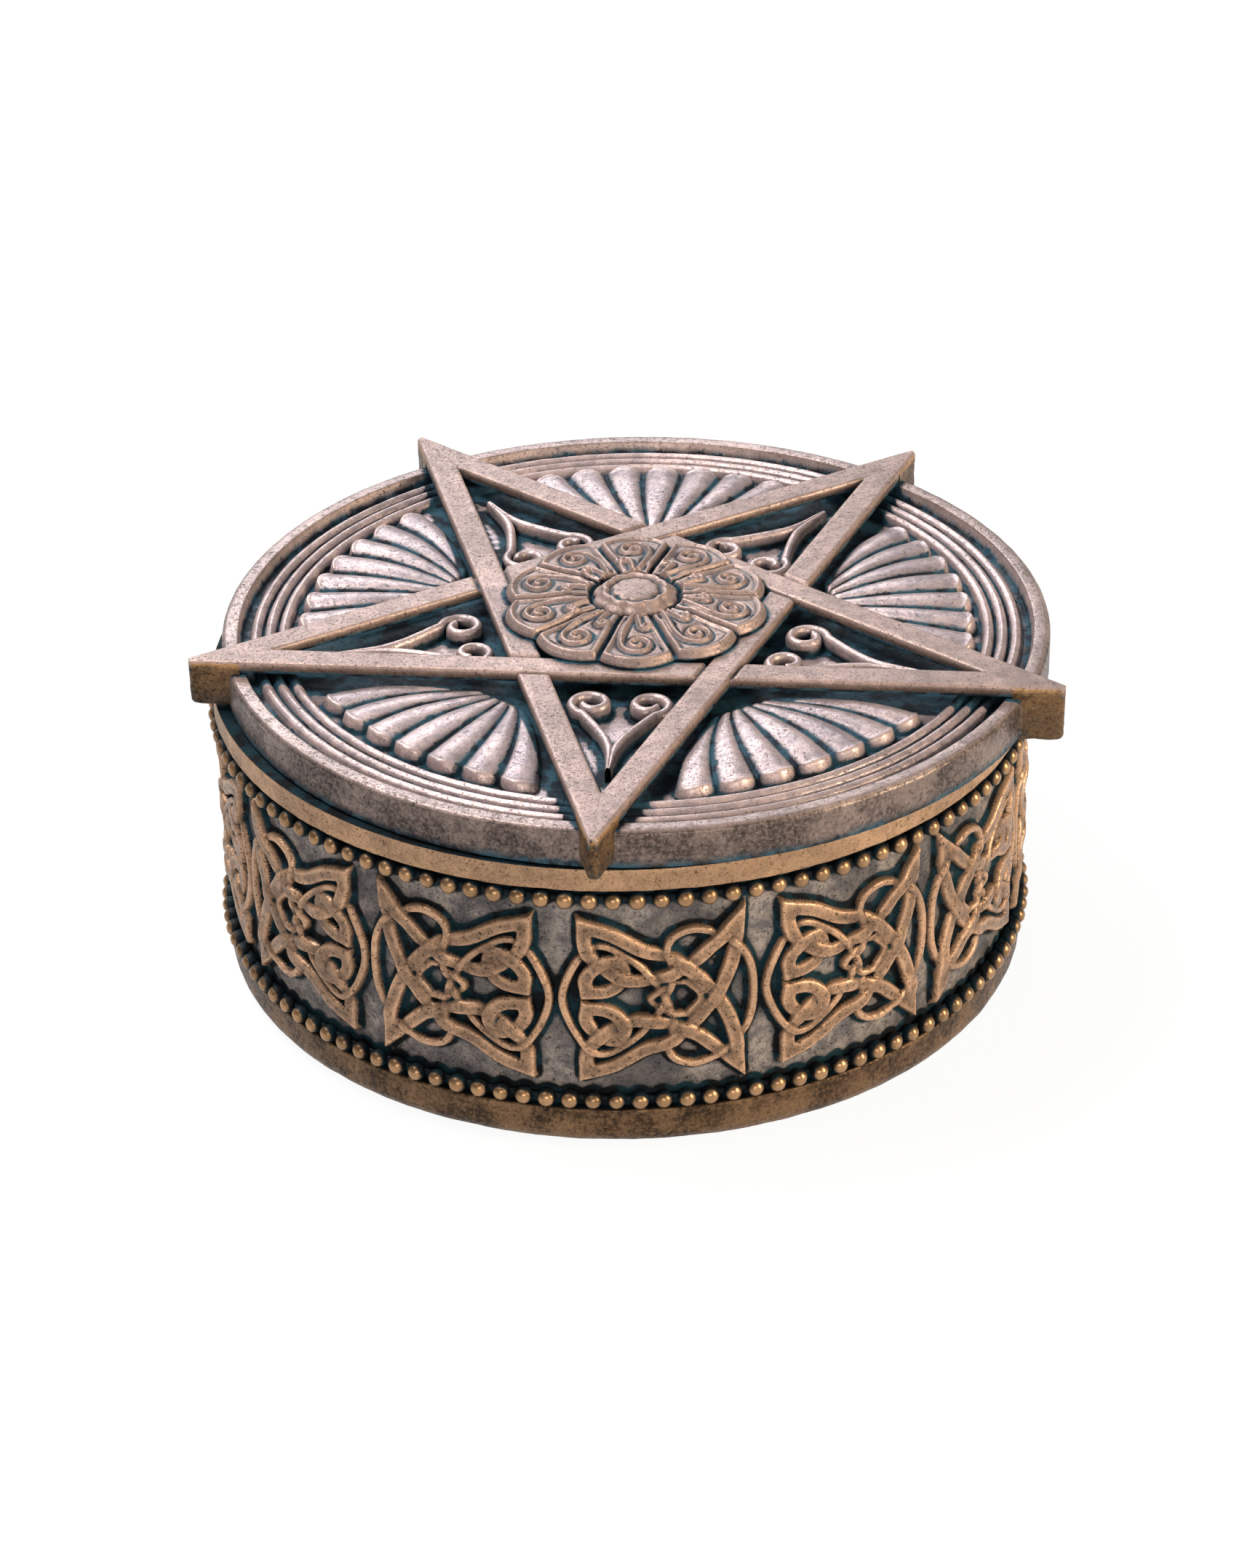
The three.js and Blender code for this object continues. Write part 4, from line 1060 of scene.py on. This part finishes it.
def petal_grid():
    """One of the rosette's ten petals with its curls, its share of the boss, and the painted shade, mixed
    with dark patina, of its hollows.
    """
    steps, rows = 71, 126
    angle = np.linspace(0, 2 * math.pi / PETALS, steps)
    t = np.linspace(0, 1, rows)
    a, t = np.meshgrid(angle, t, indexing="ij")
    lobe = np.abs(np.sin(a * PETALS / 2))
    edge = ROSETTE_RADIUS - 1.6 + 1.6 * lobe**0.8
    r = edge * t
    petal = smooth((t - BOSS_SHARE) / 0.05)
    from_seam = np.arcsin(np.clip(lobe, 0, 1)) * 2 / PETALS * r
    from_edge = np.minimum((1 - t) * edge, from_seam * 1.1)
    outline = hump(from_edge - 0.85, 0.34) * smooth((t - 0.42) / 0.1)
    seam = hump(from_seam, 0.3)
    across = (a - math.pi / PETALS) * r
    away = np.minimum(*[away_from(line, across, r) for line in petal_curls()])
    curl = hump(away, 0.30)
    trench = hump(away - 0.62, 0.28) * (t > 0.38)
    body = 1.45 - 0.75 * smooth((t - 0.5) / 0.55) - 0.25 * hump(t - 0.7, 0.16)
    leaf = body - 0.95 * seam + 0.36 * outline + 0.46 * curl - 0.14 * trench
    dome = 2.35 * np.sqrt(np.clip(1 - (t / BOSS_SHARE) ** 2, 0, 1)) ** 0.6
    ring = 0.4 * hump((t - 0.24) * PETAL_LENGTH, 0.45) - 0.35 * hump((t - 0.19) * PETAL_LENGTH, 0.3)
    top = dome * (1 - petal) + leaf * petal + ring
    top = np.where(t > 0.965, top * np.sqrt(np.clip((1 - t) / 0.035, 0, 1)), top)
    z = ROSETTE_LAP + np.clip(top, -0.1, None)
    flat = np.stack([r * np.cos(a), r * np.sin(a), z], 2)
    boss_foot = hump((t - 0.345) * PETAL_LENGTH, 0.4)
    boss_groove = hump((t - 0.19) * PETAL_LENGTH, 0.35)
    inner_edge = hump(from_edge - 1.45, 0.3) * (t > 0.45)
    grooves = [seam * petal, 0.8 * boss_foot, 0.5 * boss_groove, 0.55 * trench, 0.4 * inner_edge]
    hollow = np.maximum.reduce(grooves) * (1 - curl) * (1 - outline)
    under = []
    inner = np.full(steps, ROSETTE_MIDDLE)
    rows_under = [(edge[:, -1], ROSETTE_LAP - 0.22), (inner, ROSETTE_LAP - 0.25), (inner, ORNAMENT_BOTTOM)]
    for reach, level in rows_under:
        row = np.stack([reach * np.cos(angle), reach * np.sin(angle), np.full(steps, level)], 1)
        under.append(row[:, None])
    return np.concatenate([flat, *under], 1), np.concatenate([hollow, np.ones((steps, 3))], 1)


def height_map(shapes, size=800, reach=61.0):
    """Highest point of the given shapes in each cell of a square round the lid's middle."""
    cell = 2 * reach / size
    made = np.full((size, size), DISH_TOP - 0.2)
    for p in shapes:
        i = np.clip(((p[:, 0] + reach) / cell).astype(int), 0, size - 1)
        j = np.clip(((p[:, 1] + reach) / cell).astype(int), 0, size - 1)
        layer = np.full((size, size), -1.0)
        np.maximum.at(layer, (i, j), p[:, 2])
        for _ in range(3):
            spread = layer
            for step in ((1, 0), (-1, 0), (0, 1), (0, -1)):
                spread = np.maximum(spread, np.roll(layer, step, (0, 1)))
            layer = np.where(layer < 0, spread, layer)
        made = np.maximum(made, layer)
    x = (np.arange(size) + 0.5) * cell - reach
    outside = np.hypot(x[:, None], x[None]) > reach - 1
    made[outside] = LID_RIM_TOP - 3
    return made, cell, reach


def sampled(field, cell, reach, points):
    """Field read at the points by position, smoothly between its cells."""
    x = np.clip((points[:, 0] + reach) / cell - 0.5, 0, field.shape[0] - 1.001)
    y = np.clip((points[:, 1] + reach) / cell - 0.5, 0, field.shape[1] - 1.001)
    i, j = x.astype(int), y.astype(int)
    u, v = x - i, y - j
    return (field[i, j] * (1 - u) * (1 - v) + field[i + 1, j] * u * (1 - v)
            + field[i, j + 1] * (1 - u) * v + field[i + 1, j + 1] * u * v)


def lid_pieces():
    """Lid casting, star, rosette, scrolls and fans, with the shade that each takes from all of them."""
    fan, flutes = fan_grid()
    petal, petal_hollow = petal_grid()
    made = {
        "lid_plate": turned_mesh(
            "lid_casting", lid_profile(), LID_STEPS, lid_bronze,
            uneven=0.16, coarse=2.2, seed=21, shift=LID_SLIP,
        ),
        "rosette": ring_mesh(
            "petal_rosette", [petal], star_bronze, count=PETALS, first=0,
            uneven=0.05, coarse=1.5, seed=22, hollow=petal_hollow,
        ),
        "leaf_fan": ring_mesh(
            "fluted_fans", [fan], lid_bronze, count=STAR_POINTS, first=STAR_ANGLE + 180 / STAR_POINTS,
            uneven=0.10, coarse=1.8, seed=23, hollow=flutes,
        ),
        "arm_scroll": ring_mesh(
            "lyre_scrolls", scroll_grids(), lid_bronze, count=STAR_POINTS, first=STAR_ANGLE,
            uneven=0.08, coarse=1.4, seed=24,
        ),
        "star_lattice": ring_mesh(
            "woven_star", [bar_grid()], star_bronze, count=STAR_POINTS, first=STAR_ANGLE,
            uneven=0.12, coarse=2.6, seed=25,
        ),
    }
    slip = np.array([*LID_SLIP, 0])
    # Painted shade next to taller parts, mixed with the dark patina of the hollows, from a map of heights.
    heights, cell, reach = height_map([at - slip for _, at in made.values()])
    softer = [blurred(heights, width / cell, width / cell, wrap=False) for width in (0.4, 0.55, 1.8)]
    for node, (mesh, at) in made.items():
        points = at - slip
        z, r = points[:, 2], np.hypot(points[:, 0], points[:, 1])
        edge, tight, wide = (sampled(field, cell, reach, points) for field in softer)
        edge_shade = np.clip((tight - z - 0.05) / 0.5, 0, 1)
        deep_shade = np.clip((wide - z - 0.5) / 1.8, 0, 1)
        hollow = 0.8 * edge_shade + 0.26 * deep_shade
        soot = np.zeros(len(z))
        if node == "lid_plate":
            # Painted shade on the lid's edge face, darker towards its bottom, and on its underside. The
            # edge face and the rim top also get golden smudges that paint them darker as shade.
            edge_face = (r > LID_RADIUS - 0.2) & (z < LID_RIM_TOP - 0.2)
            hollow = np.where(edge_face, 0.6 * smooth((LID_BOTTOM + 1.0 - z) / 1.0), hollow)
            hollow = np.where(z < LID_BOTTOM - 0.1, 0.3, hollow)
            rim_top = (r > LID_RIM_INNER) & (z > LID_RIM_TOP - 0.3)
            soot = np.where(edge_face, 0.95, np.where(rim_top, 0.5, 0.0))
        if node in ("rosette", "leaf_fan"):
            hollow = np.maximum(hollow, field_of(mesh, "hollow"))
        if node == "star_lattice":
            # Painted shade on the sides of the star's bars, darker towards their foot; the smudges on the
            # sides paint them darker as shade too.
            below = smooth((STAR_TOP - 0.45 - z) / 0.4)
            hollow = hollow * (1 - below) + below * (0.1 + 0.7 * smooth((STAR_BOTTOM + 0.5 - z) / 0.5))
            soot = 0.6 * below
        shaded(mesh, hollow=np.clip(hollow, 0, 1), wear=np.clip((z - edge - 0.02) / 0.3, 0, 1), soot=soot)
        repeated = [f"{node}_{i + 1:02d}" for i in range(STAR_POINTS)]
        nodes = repeated if node in ("leaf_fan", "arm_scroll") else [node]
        slot = "star_bronze" if node in ("rosette", "star_lattice") else "lid_bronze"
        place_piece(mesh, "lid", nodes, slot)


def point_blocks():
    """Blocks under the star's points, which hang past the lid's edge."""
    for i, bottom in enumerate(TIP_BLOCK_BOTTOMS):
        block, at = ring_mesh(
            f"star_point_block_{i + 1}", [tip_block_grid(bottom)], point_bronze, count=1,
            first=STAR_ANGLE + 360 / STAR_POINTS * i, uneven=0.3, coarse=1.1, seed=60 + i, way="volume",
        )
        hollow = np.clip((STAR_BOTTOM - 0.5 - at[:, 2]) / 3.0, 0, 1) * 0.25
        wear = np.clip((at[:, 2] - STAR_TOP + 1.2) / 0.8, 0, 1)
        shaded(block, hollow=hollow, wear=wear, soot=0.85 * (1 - wear))
        place_piece(block, "lid", ["star_lattice"], "star_bronze")


knot_wall()
cup_body()
felt_pad()
bead_row("beads_lower", "bead_row_lower", LOWER_BEAD_Z, 1)
bead_row("beads_upper", "bead_row_upper", UPPER_BEAD_Z, 2)
lid_pieces()
point_blocks()


# Floor, world, lamps and camera
def floor_material():
    """White floor that keeps a faint shadow and also shows white in the metal."""
    t = Finish("floor_white")
    path = t.add("ShaderNodeLightPath").node.outputs
    seen = t.maths("MAXIMUM", path["Is Camera Ray"], path["Is Glossy Ray"])
    seen = t.maths("MAXIMUM", seen, path["Is Transmission Ray"])
    matt = t.add("ShaderNodeBsdfDiffuse", Color=(0.9, 0.9, 0.9, 1))
    light = t.add("ShaderNodeEmission", Color=(1, 1, 1, 1))
    return t.dress(t.blend(t.times(seen, 0.93), matt, light))


def add_floor():
    """Wide flat floor under the box."""
    reach = 4.0
    points = [(-reach, -reach, 0), (reach, -reach, 0), (reach, reach, 0), (-reach, reach, 0)]
    mesh = bpy.data.meshes.new("floor")
    mesh.from_pydata(points, [], [(0, 1, 2, 3)])
    mesh.materials.append(floor_material())
    floor = bpy.data.objects.new("floor", mesh)
    bpy.context.scene.collection.objects.link(floor)


def add_world():
    """Faint cool light from all round, which the camera sees as white."""
    world = bpy.data.worlds.new("studio")
    bpy.context.scene.world = world
    world.use_nodes = True
    t = Nodes(world.node_tree)
    seen = t.add("ShaderNodeLightPath").node.outputs["Is Camera Ray"]
    room = t.add("ShaderNodeBackground", Color=(0.86, 0.90, 1.0, 1), Strength=0.20)
    white = t.add("ShaderNodeBackground", Color=(1, 1, 1, 1))
    t.add("ShaderNodeOutputWorld", Surface=t.blend(seen, room, white))


def add_lamp(name, place, size, power, colour):
    """Soft lamp that is aimed at the middle of the box."""
    light = bpy.data.lights.new(name, "AREA")
    light.shape = "RECTANGLE"
    light.size, light.size_y = size
    light.energy = power
    light.color = colour
    lamp = bpy.data.objects.new(name, light)
    lamp.location = place
    aim = Vector((0, 0, 0.03)) - Vector(place)
    lamp.rotation_euler = aim.to_track_quat("-Z", "Y").to_euler()
    bpy.context.scene.collection.objects.link(lamp)


def add_camera():
    """Camera that looks down at the box from its fitted place."""
    rise = math.radians(CAMERA_RISE)
    right = Vector((1, 0, 0))
    up = Vector((0, math.sin(rise), math.cos(rise)))
    back = Vector((0, -math.cos(rise), math.sin(rise)))
    place = sum((way * far for way, far in zip((right, up, back), CAMERA_PLACE)), Vector())
    turn = Matrix((right, up, back)).transposed() @ Matrix.Rotation(CAMERA_ROLL, 3, "Z")
    data = bpy.data.cameras.new("camera")
    data.sensor_width = 36
    data.lens = CAMERA_LENS
    data.clip_start, data.clip_end = 0.01, 20
    camera = bpy.data.objects.new("camera", data)
    camera.matrix_world = Matrix.Translation(place * MM) @ turn.to_4x4()
    bpy.context.scene.collection.objects.link(camera)
    bpy.context.scene.camera = camera


add_floor()
add_world()
add_lamp("key_above_left", (-0.26, 0.06, 0.64), (0.38, 0.24), 5.2, (1.0, 0.97, 0.96))
add_lamp("fill_front", (0.05, -0.75, 0.28), (0.60, 0.25), 2.4, (1.0, 0.94, 0.88))
add_lamp("warm_right", (0.60, -0.25, 0.25), (0.25, 0.35), 5.4, (1.0, 0.84, 0.62))
add_lamp("cool_back", (-0.20, 0.60, 0.45), (0.60, 0.25), 3.8, (0.86, 0.92, 1.0))
add_camera()
bpy.context.scene.view_settings.view_transform = "Standard"
